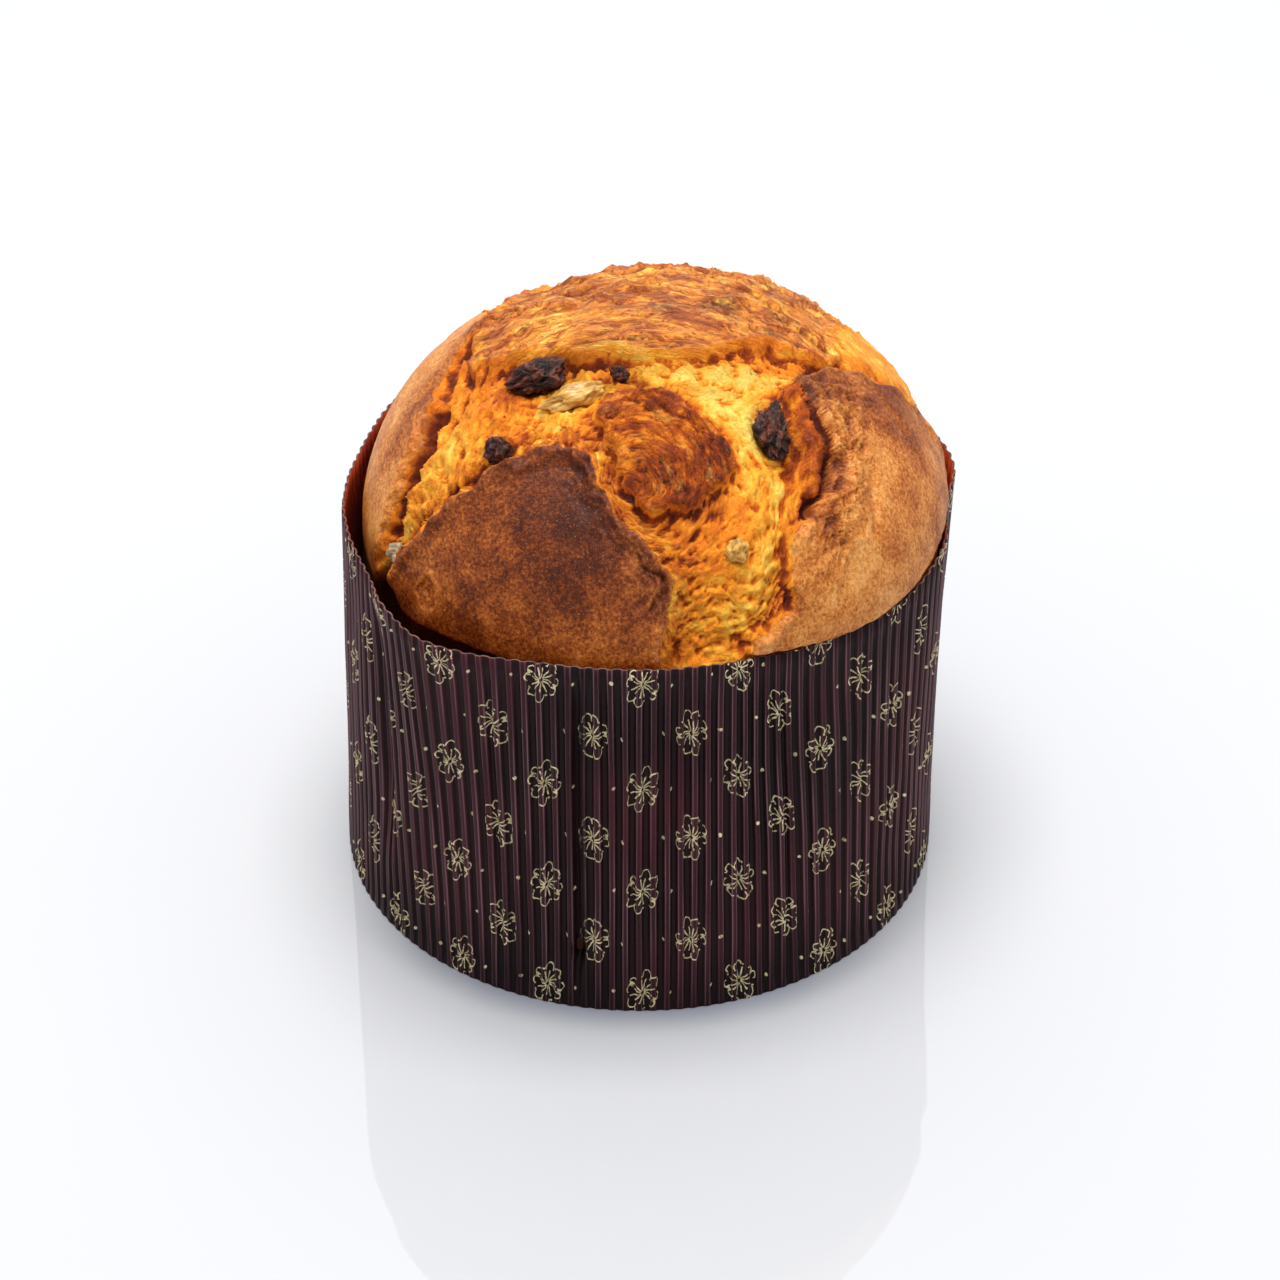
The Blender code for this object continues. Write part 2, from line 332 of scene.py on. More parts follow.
def roomRadius(degrees, height):  # the largest radius clear of the wall's inner side
    centre, width, deep = caseWall["crease"]
    holeAzimuth, holeHeight, *_, holeDeep = caseWall["hole"]
    dents = deep * bump(degrees, centre, 1.5 * width) * smooth(height, 20.0, 50.0)
    dents += holeDeep * bump(degrees, holeAzimuth, 3.0) * bell(height - holeHeight, 6.0)
    for azimuth, halfWidth, depth in caseWall["folds"]:
        dents += depth * bump(degrees, azimuth, 2.0 * halfWidth)
    return wallRadius(degrees, height) - form["fluteDepth"] - form["paper"] - form["gap"] - 0.5 - dents


def domeProfile(steps=400):
    t = np.linspace(0.0, math.pi / 2, steps)
    powerR, powerZ = form["domeRoundness"]
    radius = form["domeRadius"] * np.sin(t) ** powerR
    height = form["domeFoot"] + form["domeHeight"] * np.clip(np.cos(t), 0.0, 1.0) ** powerZ
    along = np.concatenate([[0.0], np.cumsum(np.hypot(np.diff(radius), np.diff(height)))])
    return along, radius, height


profileAlong, profileRadius, profileHeight = domeProfile()
domeReach = profileAlong[-1]            # from the top of the dome to its widest ring


def domePoints(u, v):  # points of the smooth dome in millimetres, and their outward normals
    along, azimuth = np.hypot(u, v), np.arctan2(v, u)
    outer, inner = np.minimum(along + 0.5, domeReach), np.maximum(along - 0.5, 0.0)
    slopeR = np.interp(outer, profileAlong, profileRadius) - np.interp(inner, profileAlong, profileRadius)
    slopeZ = np.interp(outer, profileAlong, profileHeight) - np.interp(inner, profileAlong, profileHeight)
    radius = np.interp(along, profileAlong, profileRadius)
    height = np.interp(along, profileAlong, profileHeight)
    cosA, sinA = np.cos(azimuth), np.sin(azimuth)
    normal = np.stack([-slopeZ * cosA, -slopeZ * sinA, slopeR], axis=1)
    normal /= np.linalg.norm(normal, axis=1)[:, None]
    centreX, centreY = form["domeCentre"]
    point = np.stack([centreX + radius * cosA, centreY + radius * sinA, height], axis=1)
    return point, normal


def lineDistance(u, v, points, closed=False):
    best = np.full(np.shape(u), 1e9)
    ends = points[1:] + points[:1] if closed else points[1:]
    for (ax, ay), (bx, by) in zip(points, ends):
        dx, dy = bx - ax, by - ay
        along = np.clip(((u - ax) * dx + (v - ay) * dy) / (dx * dx + dy * dy), 0.0, 1.0)
        best = np.minimum(best, np.hypot(u - ax - along * dx, v - ay - along * dy))
    return best


def insideDistance(u, v, points):  # distance to the outline, positive inside it
    found = np.zeros(np.shape(u), bool)
    for (ax, ay), (bx, by) in zip(points, points[1:] + points[:1]):
        if ay != by:
            found ^= ((ay > v) != (by > v)) & (u < (bx - ax) * (v - ay) / (by - ay) + ax)
    return np.where(found, 1.0, -1.0) * lineDistance(u, v, points, closed=True)


def spot(u, v, centreU, centreV, halfU, halfV):
    return np.exp(-((u - centreU) / halfU) ** 2 - ((v - centreV) / halfV) ** 2)


def addSpots(values, u, v, spots):
    for *place, amount in spots:
        values = values + amount * spot(u, v, *place)
    return values


# Case wall

caseWall = {
    "flutes": 138,
    # phase of the points round one flute, and how far in each lies from crest 0 to valley 1
    "flute": [(0.0, 0.0), (0.11, 0.02), (0.17, 0.12), (0.25, 0.5), (0.33, 0.88), (0.39, 0.98),
              (0.5, 1.0), (0.61, 0.98), (0.67, 0.88), (0.75, 0.5), (0.83, 0.12), (0.89, 0.02)],
    "foldRadii": [65.0, 69.0, 73.0, 75.8],  # the lower edge is folded in under the loaf
    "foldHeight": 1.0,
    # shares of the height where the wall has a ring of points, close together round the hole, and the
    # ring that the flat sheet is measured on
    "levels": [0.0, 0.012, 0.05, 0.10, 0.135, 0.155, 0.175, 0.20, 0.24, 0.34, 0.46, 0.58, 0.70, 0.80, 0.89,
               0.96, 1.0],
    "sheetLevel": 10,
    "crease": (-146.0, 2.2, 2.6),       # azimuth, half-width in degrees, depth
    # narrow folds in the same way, the first one the deepest
    "folds": [(-101.2, 0.8, 1.3), (-118.0, 0.7, 0.5), (-74.5, 0.8, 0.6), (-59.0, 0.9, 0.8)],
    "lean": (-57.0, 8.0, -1.5),         # azimuth, half-width, how far the flutes' tops lean in degrees
    "wobble": 0.35,                     # uneven flutes, in degrees
    "hole": (-101.5, 18.0, 1.6, 3.0, 2.4),  # azimuth, height, half-width, half-height, depth
    "columns": 39, "rowPitch": 32.3, "firstRow": 6.0, "firstColumn": -89.3,
    # the print wavers and its flowers are turned by up to this, in radians, how much taller than wide they
    # are, and how far from a line the ink is full and none
    "waver": 1.3, "turned": 1.1, "narrow": 1.16, "stroke": (0.11, 0.27),
    "outside": ((34, 12, 16), (60, 22, 28)), "inside": ((112, 24, 10), (150, 52, 20)),
    "edge": ((112, 74, 66), (66, 38, 36)), "print": ((226, 214, 174), (186, 170, 128)),
    "roughness": 0.32, "specular": 0.11, "fibreDepth": 0.12,
}


def flowerLine(across, up, ends):
    # distance to a straight stroke between two points
    (ax, ay), (bx, by) = ends
    dx, dy = bx - ax, by - ay
    size = dx * dx + dy * dy
    px, py = minus(across, ax), minus(up, ay)
    dot = add(times(px, dx / size), times(py, dy / size))
    along = calc("MAXIMUM", calc("MINIMUM", dot, 1.0), 0.0)
    ex = minus(px, times(along, dx))
    ey = minus(py, times(along, dy))
    return length(ex, ey)


def length(x, y):
    total = add(times(x, x), times(y, y))
    return calc("SQRT", total)


def flowerDot(across, up, centre, radius):
    away = length(minus(across, centre[0]), minus(up, centre[1]))
    return minus(away, radius)


def flowerRing(*circle):
    return calc("ABSOLUTE", flowerDot(*circle))


def flowerPrint(sheet, pitch, start):
    # a line flower in a staggered lattice on the flat sheet: its share of ink, 0 to 1
    warp = axesOf(grain(scaled(sheet, (0.11, 0.11, 1.0)), 2.6, 2.0, 0.5, output="Color"))
    across, up, _ = axesOf(sheet)
    rowPitch, waver = caseWall["rowPitch"], caseWall["waver"]
    s = add(across, timesAdd(warp[0], waver, -start - waver / 2))
    z = add(up, timesAdd(warp[1], waver, -caseWall["firstRow"] - waver / 2))

    def lattice(offsetS, offsetZ):
        column = calc("ROUND", calc("DIVIDE", minus(s, offsetS), 2 * pitch))
        row = calc("ROUND", calc("DIVIDE", minus(z, offsetZ), rowPitch))
        x = minus(s, timesAdd(column, 2 * pitch, offsetS))
        y = minus(z, timesAdd(row, rowPitch, offsetZ))
        away = add(calc("DIVIDE", calc("ABSOLUTE", x), pitch),
                   calc("DIVIDE", calc("ABSOLUTE", y), rowPitch / 2))
        return x, y, away, timesAdd(column, 2.0, offsetS / pitch)

    first, second = lattice(0.0, 0.0), lattice(pitch, rowPitch / 2)
    other = calc("LESS_THAN", second[2], first[2])

    def choose(k):
        return timesAdd(minus(second[k], first[k]), other, first[k])

    x, y, column = choose(0), choose(1), choose(3)
    chance = addNode("TexWhiteNoise")
    chance.noise_dimensions = "1D"
    put(chance.inputs["W"], timesAdd(column, 0.731, 3.3))
    turn = timesAdd(chance.outputs["Value"], caseWall["turned"], -caseWall["turned"] / 2)
    joined = addNode("CombineXYZ")
    fill(joined, {"X": x, "Y": y})
    turned = addNode("VectorRotate")
    turned.rotation_type = "Z_AXIS"
    fill(turned, {"Vector": joined.outputs[0], "Angle": turn})
    ax, ay = (calc("ABSOLUTE", part) for part in axesOf(turned.outputs[0])[:2])
    ax = times(ax, caseWall["narrow"])
    tall = add(flowerRing(ax, ay, (1.6, 5.0), 1.6), fit(ay, 3.4, 4.6, 1.0, 0.0))
    wide = add(flowerRing(ax, ay, (4.8, 1.35), 1.25), fit(ax, 3.8, 4.8, 1.0, 0.0))
    lines = [
        tall, wide,                                             # petals, open inwards
        flowerLine(ax, ay, ((0.35, 0.7), (1.0, 3.6))),          # stamens
        flowerLine(ax, ay, ((0.6, 0.5), (2.9, 3.2))),
        flowerLine(ax, ay, ((0.8, 0.2), (3.5, 0.7))),
        flowerLine(ax, ay, ((4.3, 0.5), (5.7, 0.6))),
        flowerDot(ax, ay, (3.6, 4.2), 0.1),
    ]
    ink = fit(chain("MINIMUM", *lines), *caseWall["stroke"], 1.0, 0.0)
    sides = flowerDot(calc("ABSOLUTE", x), timesAdd(x, 0.06, y), (10.0, 0.0), 0.45)
    spots = fit(sides, 0.0, 0.2, 1.0, 0.0)
    gaps = fit(grain(sheet, 1.1, 3.0), 0.36, 0.50, 0.25, 1.0)
    return times(calc("MAXIMUM", ink, spots), gaps)


def paperMaterials(pitch, start):
    outside, shader = newMaterial("printedPaper")
    sheet = addNode("UVMap")
    sheet.uv_map = "sheet"
    place = objectPlace()
    cloud = fit(grain(place, 26.0, 3.0), 0.35, 0.68)
    fibre = grain(scaled(sheet.outputs[0], (2.4, 0.5, 1.0)), 1.2, 5.0, 0.6)
    paper = mix(cloud, *(srgb(*c) for c in caseWall["outside"]))
    paper = mix(times(fit(fibre, 0.4, 0.75), 0.3), paper, srgb(82, 48, 54))
    # painted shade down in the flute valleys
    valley = fit(attribute("valley"), 0.25, 0.8, 0.0, 0.70)
    paper = mix(valley, paper, srgb(12, 6, 8))
    # light catches the two shoulders of a flute, here more and there less
    flank = attribute("valley")
    shine = times(fit(flank, 0.0, 0.10), fit(flank, 0.16, 0.34, 1.0, 0.0))
    some = fit(grain(scaled(sheet.outputs[0], (0.22, 0.02, 1.0)), 1.0, 2.0), 0.38, 0.66, 0.2, 0.85)
    paper = mix(times(shine, some), paper, srgb(124, 92, 100))
    # painted shade: the wall darker towards its foot
    paper = mix(fit(axesOf(place)[2], 0.0, 26 * mm, 0.45, 0.0), paper, srgb(10, 5, 6))
    ink = flowerPrint(sheet.outputs[0], pitch, start)
    inkColour = mix(fit(grain(sheet.outputs[0], 0.5, 3.0), 0.35, 0.65),
                    *(srgb(*c) for c in caseWall["print"]))
    paper = mix(ink, paper, inkColour)
    # painted shade in the hole and beside the deepest fold
    hole = fit(attribute("hole"), 0.25, 0.75)
    rough = timesAdd(fibre, 0.22, caseWall["roughness"])
    fill(shader, {
        "Base Color": mix(hole, paper, srgb(12, 7, 6)), "Specular IOR Level": caseWall["specular"],
        "Roughness": add(rough, times(ink, 0.12)),
        "Normal": relief(fibre, caseWall["fibreDepth"] * mm, 0.5)})

    inside, shader = newMaterial("paperInside")
    cloud = fit(grain(objectPlace(), 34.0, 4.0), 0.35, 0.65)
    fill(shader, {"Base Color": mix(cloud, *(srgb(*c) for c in caseWall["inside"])),
                    "Roughness": timesAdd(cloud, -0.15, 0.5)})

    edge, shader = newMaterial("paperEdge")
    cloud = fit(grain(objectPlace(), 500.0), 0.4, 0.6)
    fill(shader, {"Base Color": mix(cloud, *(srgb(*c) for c in caseWall["edge"])), "Roughness": 0.7})
    return outside, inside, edge


def makeCaseWall():
    flutes, phases = caseWall["flutes"], [p for p, _ in caseWall["flute"]]
    folds, levels = caseWall["foldRadii"], caseWall["levels"]
    count = flutes * len(phases)
    deselectAll()
    bpy.ops.mesh.primitive_circle_add(vertices=count, radius=form["footRadius"] * mm)
    wall = bpy.context.object
    wall.name = "paperWall"
    editAll()
    for _ in range(len(folds) + len(levels) - 1):
        bpy.ops.mesh.extrude_edges_move(TRANSFORM_OT_translate={"value": (0.0, 0.0, 5 * mm)})
    endEdit()

    # every ring point gets its place in the fluted wall
    points = readPoints(wall)
    ring = np.round(points[:, 2] / (5 * mm)).astype(int)
    turn = np.degrees(np.arctan2(points[:, 1], points[:, 0]))
    step = np.round(((turn - 90.0) % 360.0) / 360.0 * count).astype(int) % count
    phase = np.array(phases)[step % len(phases)]
    inward = np.array([d for _, d in caseWall["flute"]])[step % len(phases)]
    degrees = 90.0 + (step // len(phases) + phase) * 360.0 / flutes
    degrees = (degrees + 180.0) % 360.0 - 180.0
    folded = ring < len(folds)
    share = np.array([0.0] * len(folds) + levels)[ring]
    top = rimHeight(degrees)
    height = form["footHeight"] + share * (top - form["footHeight"])

    uneven = mapPoints(degrees, height, 7.0, 60.0)
    shift = caseWall["wobble"] * layers(uneven, 2, 11)
    centre, width, lean = caseWall["lean"]
    shift += lean * bump(degrees, centre, width) * smooth(height, 18.0, 85.0)
    centre, width, deep = caseWall["crease"]
    away = (degrees - centre) / (2.2 * width)
    shift -= 1.5 * away * np.exp(-away ** 2) * smooth(height, 10.0, 40.0)
    foot, full, rim = form["footFluteDepth"], form["fluteDepth"], form["rimFluteDepth"]
    depth = foot + (full - foot) * smooth(height, 0.0, 40.0)
    depth += (rim - full) * smooth(share, 0.86, 1.0)
    depth = depth * (1.0 + 0.22 * noise(mapPoints(degrees, height, 4.0, 70.0), 5))
    depth *= 0.25 + 0.75 * smooth(height, 0.0, 5.0)
    radius = wallRadius(degrees, height) - depth * inward
    lower, upper = smooth(height, 20.0, 50.0), 1.0 - smooth(height, 90.0, 106.0)
    radius -= deep * bump(degrees, centre, width) * lower * upper
    lower, upper = smooth(height, 4.0, 20.0), 1.0 - smooth(share, 0.9, 1.0)
    for centre, width, deep in caseWall["folds"]:
        radius -= deep * bump(degrees, centre, width) * lower * upper
    radius -= 0.5 * (0.5 + noise(mapPoints(degrees, height, 9.0, 25.0), 3)) * smooth(height, 6.0, 30.0)
    holeAzimuth, holeHeight, holeWide, holeHigh, holeDeep = caseWall["hole"]
    across = np.radians(degrees - holeAzimuth) * form["footRadius"]
    hole = np.exp(-(across / holeWide) ** 4 - ((height - holeHeight) / holeHigh) ** 4)
    radius -= holeDeep * hole
    height = height + 0.22 * smooth(share, 0.95, 1.0) * noise(mapPoints(degrees, height, 2.0, 50.0), 9)

    # the fold under the loaf, its pleats flattening towards the middle
    foldRadius = np.array(folds + [0.0] * len(levels))[ring]
    foldShare = (foldRadius - folds[0]) / (form["footRadius"] - folds[0])
    foldHeight = caseWall["foldHeight"] + (form["footHeight"] - caseWall["foldHeight"]) * foldShare
    radius = np.where(folded, foldRadius, radius)
    height = np.where(folded, foldHeight + 0.5 * inward * foldShare * (1.0 - foldShare), height)
    shift = np.where(folded, 0.0, shift)
    angle = np.radians(degrees + shift)
    writePoints(wall, np.stack([radius * np.cos(angle), radius * np.sin(angle), height], axis=1) * mm)

    # the flat sheet: distance round the flutes, and height
    measured = ring == len(folds) + caseWall["sheetLevel"]
    middle = readPoints(wall)[measured][np.argsort(step[measured])]
    gaps = np.linalg.norm(np.roll(middle, -1, axis=0) - middle, axis=1) / mm
    around = np.concatenate([[0.0], np.cumsum(gaps)])
    pitch = around[-1] / caseWall["columns"]
    start = around[int(round((caseWall["firstColumn"] - 90.0) % 360.0 / 360.0 * count))]
    sheet = wall.data.uv_layers.new(name="sheet")
    up = np.where(folded, foldRadius - form["footRadius"], height)
    for face in wall.data.polygons:
        steps = [step[v] for v in face.vertices]
        wraps = max(steps) - min(steps) > 2
        for loop, vertex in zip(face.loop_indices, face.vertices):
            at = count if wraps and step[vertex] == 0 else step[vertex]
            sheet.data[loop].uv = (around[at], up[vertex])
    # painted shade in the hole and beside the deepest fold
    paintedShade = np.maximum(hole, 0.6 * bump(degrees, caseWall["folds"][0][0] + 0.6, 0.9))
    addAttribute(wall, "hole", paintedShade * ~folded)
    addAttribute(wall, "valley", inward)

    # outward faces, then the paper's thickness
    makeActive(wall)
    side = wall.data.polygons[len(wall.data.polygons) // 2]
    if side.normal.dot(Vector((*side.center.xy, 0.0))) < 0.0:
        editAll()
        bpy.ops.mesh.flip_normals()
        endEdit()
    for material in paperMaterials(pitch, start):
        wall.data.materials.append(material)
    bpy.ops.object.shade_smooth_by_angle(angle=math.radians(40))
    bpy.ops.object.modifier_add(type="SOLIDIFY")
    thick = wall.modifiers[-1]
    thick.thickness = form["paper"] * mm
    thick.offset = -1.0
    thick.material_offset = 1
    thick.material_offset_rim = 2
    bpy.ops.object.modifier_apply(modifier=thick.name)
    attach(wall, "root")
    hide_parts("case_wall")
    print("case wall", len(wall.data.polygons), "faces, sheet", round(float(around[-1])), "mm")


# Base board

def finishBaseBoard(board):
    made, shader = newMaterial("greaseproofBoard")
    place = objectPlace()
    fibre = grain(scaled(place, (1.0, 3.0, 1.0)), 900.0, 6.0, 0.65)
    stain = fit(grain(place, 32.0, 4.0), 0.42, 0.62)
    base = mix(fit(fibre, 0.35, 0.65), srgb(92, 62, 52), srgb(118, 84, 68))
    fill(shader, {"Base Color": mix(times(stain, 0.5), base, srgb(66, 40, 34)),
                    "Roughness": timesAdd(stain, -0.2, 0.75),
                    "Normal": relief(fibre, 0.1 * mm, 0.5)})
    board.data.materials.clear()
    board.data.materials.append(made)
    print("base board finished")


# Loaf

loaf = {
    "grid": 288, "towardsFront": 0.14, "bodyHeights": [97.0, 94.0, 88.0, 78.0, 60.0, 30.0, 6.0, 2.0],
    "footRound": 4.0, "filledHeight": 40.0, "freeHeight": 92.0,
    "drawnIn": (-146.0, 10.0, -1.5),    # azimuth, half-width in degrees, how far the loaf stands back there
    # the front crust overhangs this part at the left front, and how far
    "under": ([(-84, -38), (-86, -48), (-87, -58), (-82, -65.5), (-71, -75.5), (-60, -84), (-50, -90),
               (-40, -94), (-30, -97), (-50, -125), (-125, -100), (-125, -38)], 7.0),
    "topRoom": (153.5, 2.3),            # what is higher than this is pressed into this room
    "tornDepth": 5.0, "backTornDepth": 2.2, "backFrom": (-8.0, 18.0), "fade": (94.0, 104.0),
    "ragged": (1.5, 8.0),               # how far torn edges stray, and over what length
    # outline on the dome map, level against the dome, width of its edge outside and inside, its lip's height
    "crusts": {
        "front": ([(-90, -49), (-78, -47), (-67, -46), (-60, -45), (-50, -43), (-44, -42), (-40, -41),
                   (-34, -40.5), (-30, -39), (-24, -39.5), (-19, -42), (-15.5, -46), (-13.5, -51),
                   (-11.5, -57), (-7.5, -63), (-2, -69), (3, -73), (5, -78), (3, -86), (-1, -120),
                   (-80, -110), (-112, -60)], 0.5, (6.5, 1.6), 1.5),
        "left": ([(-112, -44), (-86, -33), (-77, -28), (-71, -22), (-66, -17), (-62, -12), (-61, -5),
                  (-57, 4), (-51, 13), (-46, 22), (-44, 34), (-56, 44), (-80, 60), (-120, 60)],
                 0.0, (2.2, 1.4), 0.4),
        "right": ([(33, -14), (40, -10), (50, -3), (60, 2), (74, 8), (130, 10), (120, -90), (28, -125),
                   (30, -89), (38, -83), (41, -78), (39, -70), (38, -62), (40, -55), (44, -48), (47, -40),
                   (45, -32), (43, -25), (37, -19)], 0.5, (1.8, 1.6), 0.6),
        # strands between the right raisin and the right crust
        "pocket": ([(34, -17), (36, -14), (38, -17), (43, -24), (47, -34), (46, -42), (42, -50), (39, -55),
                    (37.5, -50), (39, -40), (37.5, -30), (36, -25), (34, -20)], -0.7, (1.6, 1.2), 0.5),
        "back": ([(-72, 42), (-50, 54), (-26, 62), (0, 64), (30, 62), (58, 52), (78, 40), (130, 26),
                  (90, 120), (-90, 120), (-120, 60)], 0.0, (3.0, 2.0), 0.4),
        "crown": ([(-50, -6), (-45, -4), (-36, -5), (-28, -7), (-20, -10), (-12, -10), (-5, -9), (0, -11),
                   (8, -11), (18, -7), (28, -3), (38, -3), (45, -2), (50, 3), (48, 14), (52, 30), (44, 48),
                   (22, 56), (0, 58), (-26, 54), (-40, 40), (-48, 18)], -0.8, (0.9, 1.3), 0.7),
        "middle": ([(-15, -27), (-10, -24), (-5, -23), (1, -24), (6, -27), (12, -32), (17, -37), (20, -41),
                    (19, -47), (15, -53), (11, -57), (3, -59), (-5, -57), (-8, -52), (-10, -46), (-12, -40),
                    (-15, -33)], -0.7, (1.2, 1.3), 0.9),
        "tornLeft": ([(-80, -38), (-74, -32), (-66, -26), (-58, -24), (-48, -14), (-38, -14), (-36, -24),
                      (-40, -32), (-52, -38), (-66, -41)], -2.0, (4.0, 3.0), 0.0),
        "shoulder": ([(46, 5), (60, 5), (74, 12), (80, 24), (72, 34), (58, 36), (48, 20)],
                     -0.2, (6.0, 4.0), 0.0),
    },
    # line, depth, half-width
    "clefts": [
        ([(-84, -34), (-76, -29), (-69, -22), (-64, -16), (-60, -10)], 2.4, 1.8),
        ([(-58, -17), (-54, -14), (-52, -9)], 1.4, 1.4), ([(-21, -11.5), (-14, -11.8), (-6, -11)], 1.5, 1.4),
        ([(-14, -16), (-8, -15), (-3, -17)], 1.8, 2.4), ([(20, -20), (24, -30), (26, -40)], 0.8, 3.0),
        ([(40, -22), (43, -29), (45, -37)], 1.4, 2.0), ([(46, -39), (46, -43)], 3.6, 2.2),
        ([(41, -50), (42, -54)], 3.6, 2.0),
        ([(-8, -44), (-4, -54), (4, -62)], 0.9, 3.6), ([(24, -84), (27, -90)], 1.0, 2.0),
        ([(49, -22), (50.5, -32), (49, -44)], 1.5, 1.5), ([(55, -30), (59, -38), (62, -48)], 1.1, 1.8),
        ([(58, -6), (66, -10), (72, -16)], 0.5, 2.2), ([(12, 15), (18, 12), (22, 13)], 1.3, 1.8),
        ([(-28, 22), (-22, 21), (-18, 24)], 1.2, 1.8), ([(-62, -2), (-55, 6), (-48, 13)], 0.9, 2.6),
        ([(-60, -43), (-50, -40), (-43, -37)], 1.2, 1.6), ([(-20, -3), (-8, -2), (4, -9)], 1.0, 1.6),
    ],
    # centre u, v, half-lengths along u and v, height
    "mounds": [
        (-45, -22, 7, 5, 1.6), (28, 26, 14, 9, 1.4), (-20, 27, 12, 9, -1.3), (-24, -34, 7, 6, 1.3),
        (-72, -62, 6, 5, -1.1), (-78, -66, 4, 3, -0.7), (12, -72, 8, 8, 0.9), (19, -28, 4, 3, 1.0),
        (10, -77, 1.6, 1.3, -0.8), (20, -77, 1.5, 1.3, -0.8), (22, -60, 4, 5, 0.8), (-9, -15, 5, 2.5, -1.4),
        (34, -40, 3, 6, -1.2), (41, -58, 3, 5, 0.7), (0, -14, 6, 3, 0.9),
        # seen on the skyline
        (-25, 50, 9, 9, -1.6), (-66, 38, 14, 9, -0.6), (31, 49, 7, 7, 1.6), (89, 19, 8, 5, -3.4),
    ],
    "flakes": (7.5, 3.6),               # spacing of the wide and the narrow layers
    "flowCentre": (-6.0, -52.0),        # they curve round here
    # centre u, v, half-lengths along u and v of the parts where the crumb is pulled apart
    "pulled": [(8, -17, 26, 6), (-14, -14, 7, 5), (30, -62, 8, 24), (41, -34, 6, 18)],
    "blister": (-72.0, -62.0, 5.5),     # centre u, v and radius of its rim
    # centre u, v, half-lengths along u and v, how much browner the crumb is there
    "crumbTones": [
        # the first is a painted shadow beside the left raisin
        (-37, -18, 4, 3, 0.35), (32, -68, 5, 9, -0.12), (4, -80, 6, 6, -0.22), (43, -15, 5, 4, -0.2),
        (10, -66, 9, 9, 0.20), (23, -60, 6, 9, 0.12), (-42, -22, 7, 8, 0.12), (2, 19, 18, 5, 0.12),
        (12, -57, 8, 4, 0.16), (-3, -29, 8, 5, -0.28), (-10, -41, 4, 8, -0.30), (7, -35, 8, 5, -0.16),
        (-4, -8, 11, 4, -0.26), (29, -13, 9, 4, -0.30), (-54, -27, 16, 8, -0.12), (36, -50, 3, 6, -0.24),
        (26, -86, 8, 5, -0.20), (0, -62, 6, 6, -0.20), (10, 3, 18, 5, -0.16), (-30, 0, 16, 6, -0.14),
        (-8, -34, 5, 8, 0.10), (-45, -20, 8, 5, 0.12), (-52, -4, 12, 9, 0.06),
        (15, -33, 7, 5, 0.12), (0, -27, 10, 4, 0.10), (17, -42, 4, 7, 0.16), (0, -42, 7, 5, -0.16),
        (17, -27, 8, 7, -0.28), (24, -34, 4, 9, -0.22), (6, -16, 16, 4, -0.22), (30, -13, 14, 3, -0.16),
        (28, -48, 6, 8, -0.10),
        (31, -64, 6, 12, -0.04), (20, -82, 9, 7, 0.02), (-57, -26, 13, 8, -0.14), (-28, -26, 8, 4, -0.12),
        (52, 14, 18, 12, -0.04), (-30, -6, 16, 4, -0.04), (-76, -38, 7, 4, -0.06), (3, 4, 22, 6, 0.10),
        (24, 14, 14, 9, 0.10),
        (-16, 24, 9, 5, 0.14), (16, 12, 12, 7, 0.14), (22, -9, 20, 3, 0.06), (-14, -6, 10, 3, -0.10),
        (-34, 6, 18, 10, -0.12), (-10, 2, 12, 4, -0.08), (26, 24, 7, 6, -0.14),
    ],
    # the same for the smooth crust
    "crustTones": [
        (-36, -56, 22, 14, 0.08), (-76, -70, 14, 12, -0.06), (-8, -92, 34, 8, -0.06), (38, -16, 15, 9, 0.22),
        (60, -1, 18, 6, 0.18), (41, -50, 5, 12, 0.08), (51, -37, 6, 15, 0.34), (47, -57, 4, 9, 0.28),
        (-70, -12, 9, 10, 0.18), (60, -12, 16, 8, 0.26), (-16, -96, 24, 8, -0.14),
        (66, -60, 22, 18, -0.06), (-88, -20, 16, 16, -0.04), (-84, -58, 8, 8, 0.12),
    ],
    # colours from pale to almost black
    "crumbColours": [
        (0.0, (255, 215, 104)), (0.15, (255, 184, 56)), (0.30, (249, 150, 34)), (0.45, (228, 126, 26)),
        (0.62, (190, 88, 18)), (0.80, (138, 54, 14)), (1.0, (78, 26, 9))],
    "crustColours": [
        (0.0, (222, 166, 98)), (0.25, (202, 130, 58)), (0.42, (174, 97, 34)), (0.60, (132, 62, 14)),
        (0.78, (90, 34, 4)), (1.0, (54, 14, 2))],
    "specular": 0.22, "reliefDepth": 0.7, "subsurface": (0.15, 1.5),   # its weight and reach
    # browner bands of the front and the left crust
    "frontRidge": [(-36, -37), (-24, -35), (-17, -42), (-12, -54), (-3, -68), (2, -80)],
    "leftBand": [(-62, -4), (-55, 5), (-48, 13), (-40, 22)],
}


def flowFrame(u, v):
    # places for noise that is stretched along the flakes: they curve round the flow's centre,
    # and run from front to back where the crumb is pulled apart
    centreU, centreV = loaf["flowCentre"]
    pulled = np.clip(sum(spot(u, v, *place) for place in loaf["pulled"]), 0.0, 1.0)
    across = np.hypot(u - centreU, v - centreV)
    return u, v, across + pulled * (u - across)


def flowPoints(flow, sizeAlong, sizeAcross):
    return np.stack([flow[0] / sizeAlong, flow[1] / sizeAlong, flow[2] / sizeAcross], axis=1)


def flakes(flow, spacing, seed):
    # overlapping layers: 1 at a layer's free edge, falling to 0 where the next one covers it; and the foot
    # under each edge, where a shadow line is painted
    bend = 1.7 * spacing * layers(flowPoints(flow, 2.6 * spacing, 4.0 * spacing), 4, seed)
    t = (flow[2] + bend) / spacing
    part = t - np.floor(t)
    patchy = smooth(noise(flowPoints(flow, 1.8 * spacing, 2.0 * spacing), seed + 20), -0.35, 0.10)
    foot = bell(np.minimum(part, 1.0 - part), 0.10)
    return (1.0 - part) ** 1.2 * smooth(part, 0.0, 0.13) * patchy, foot * patchy


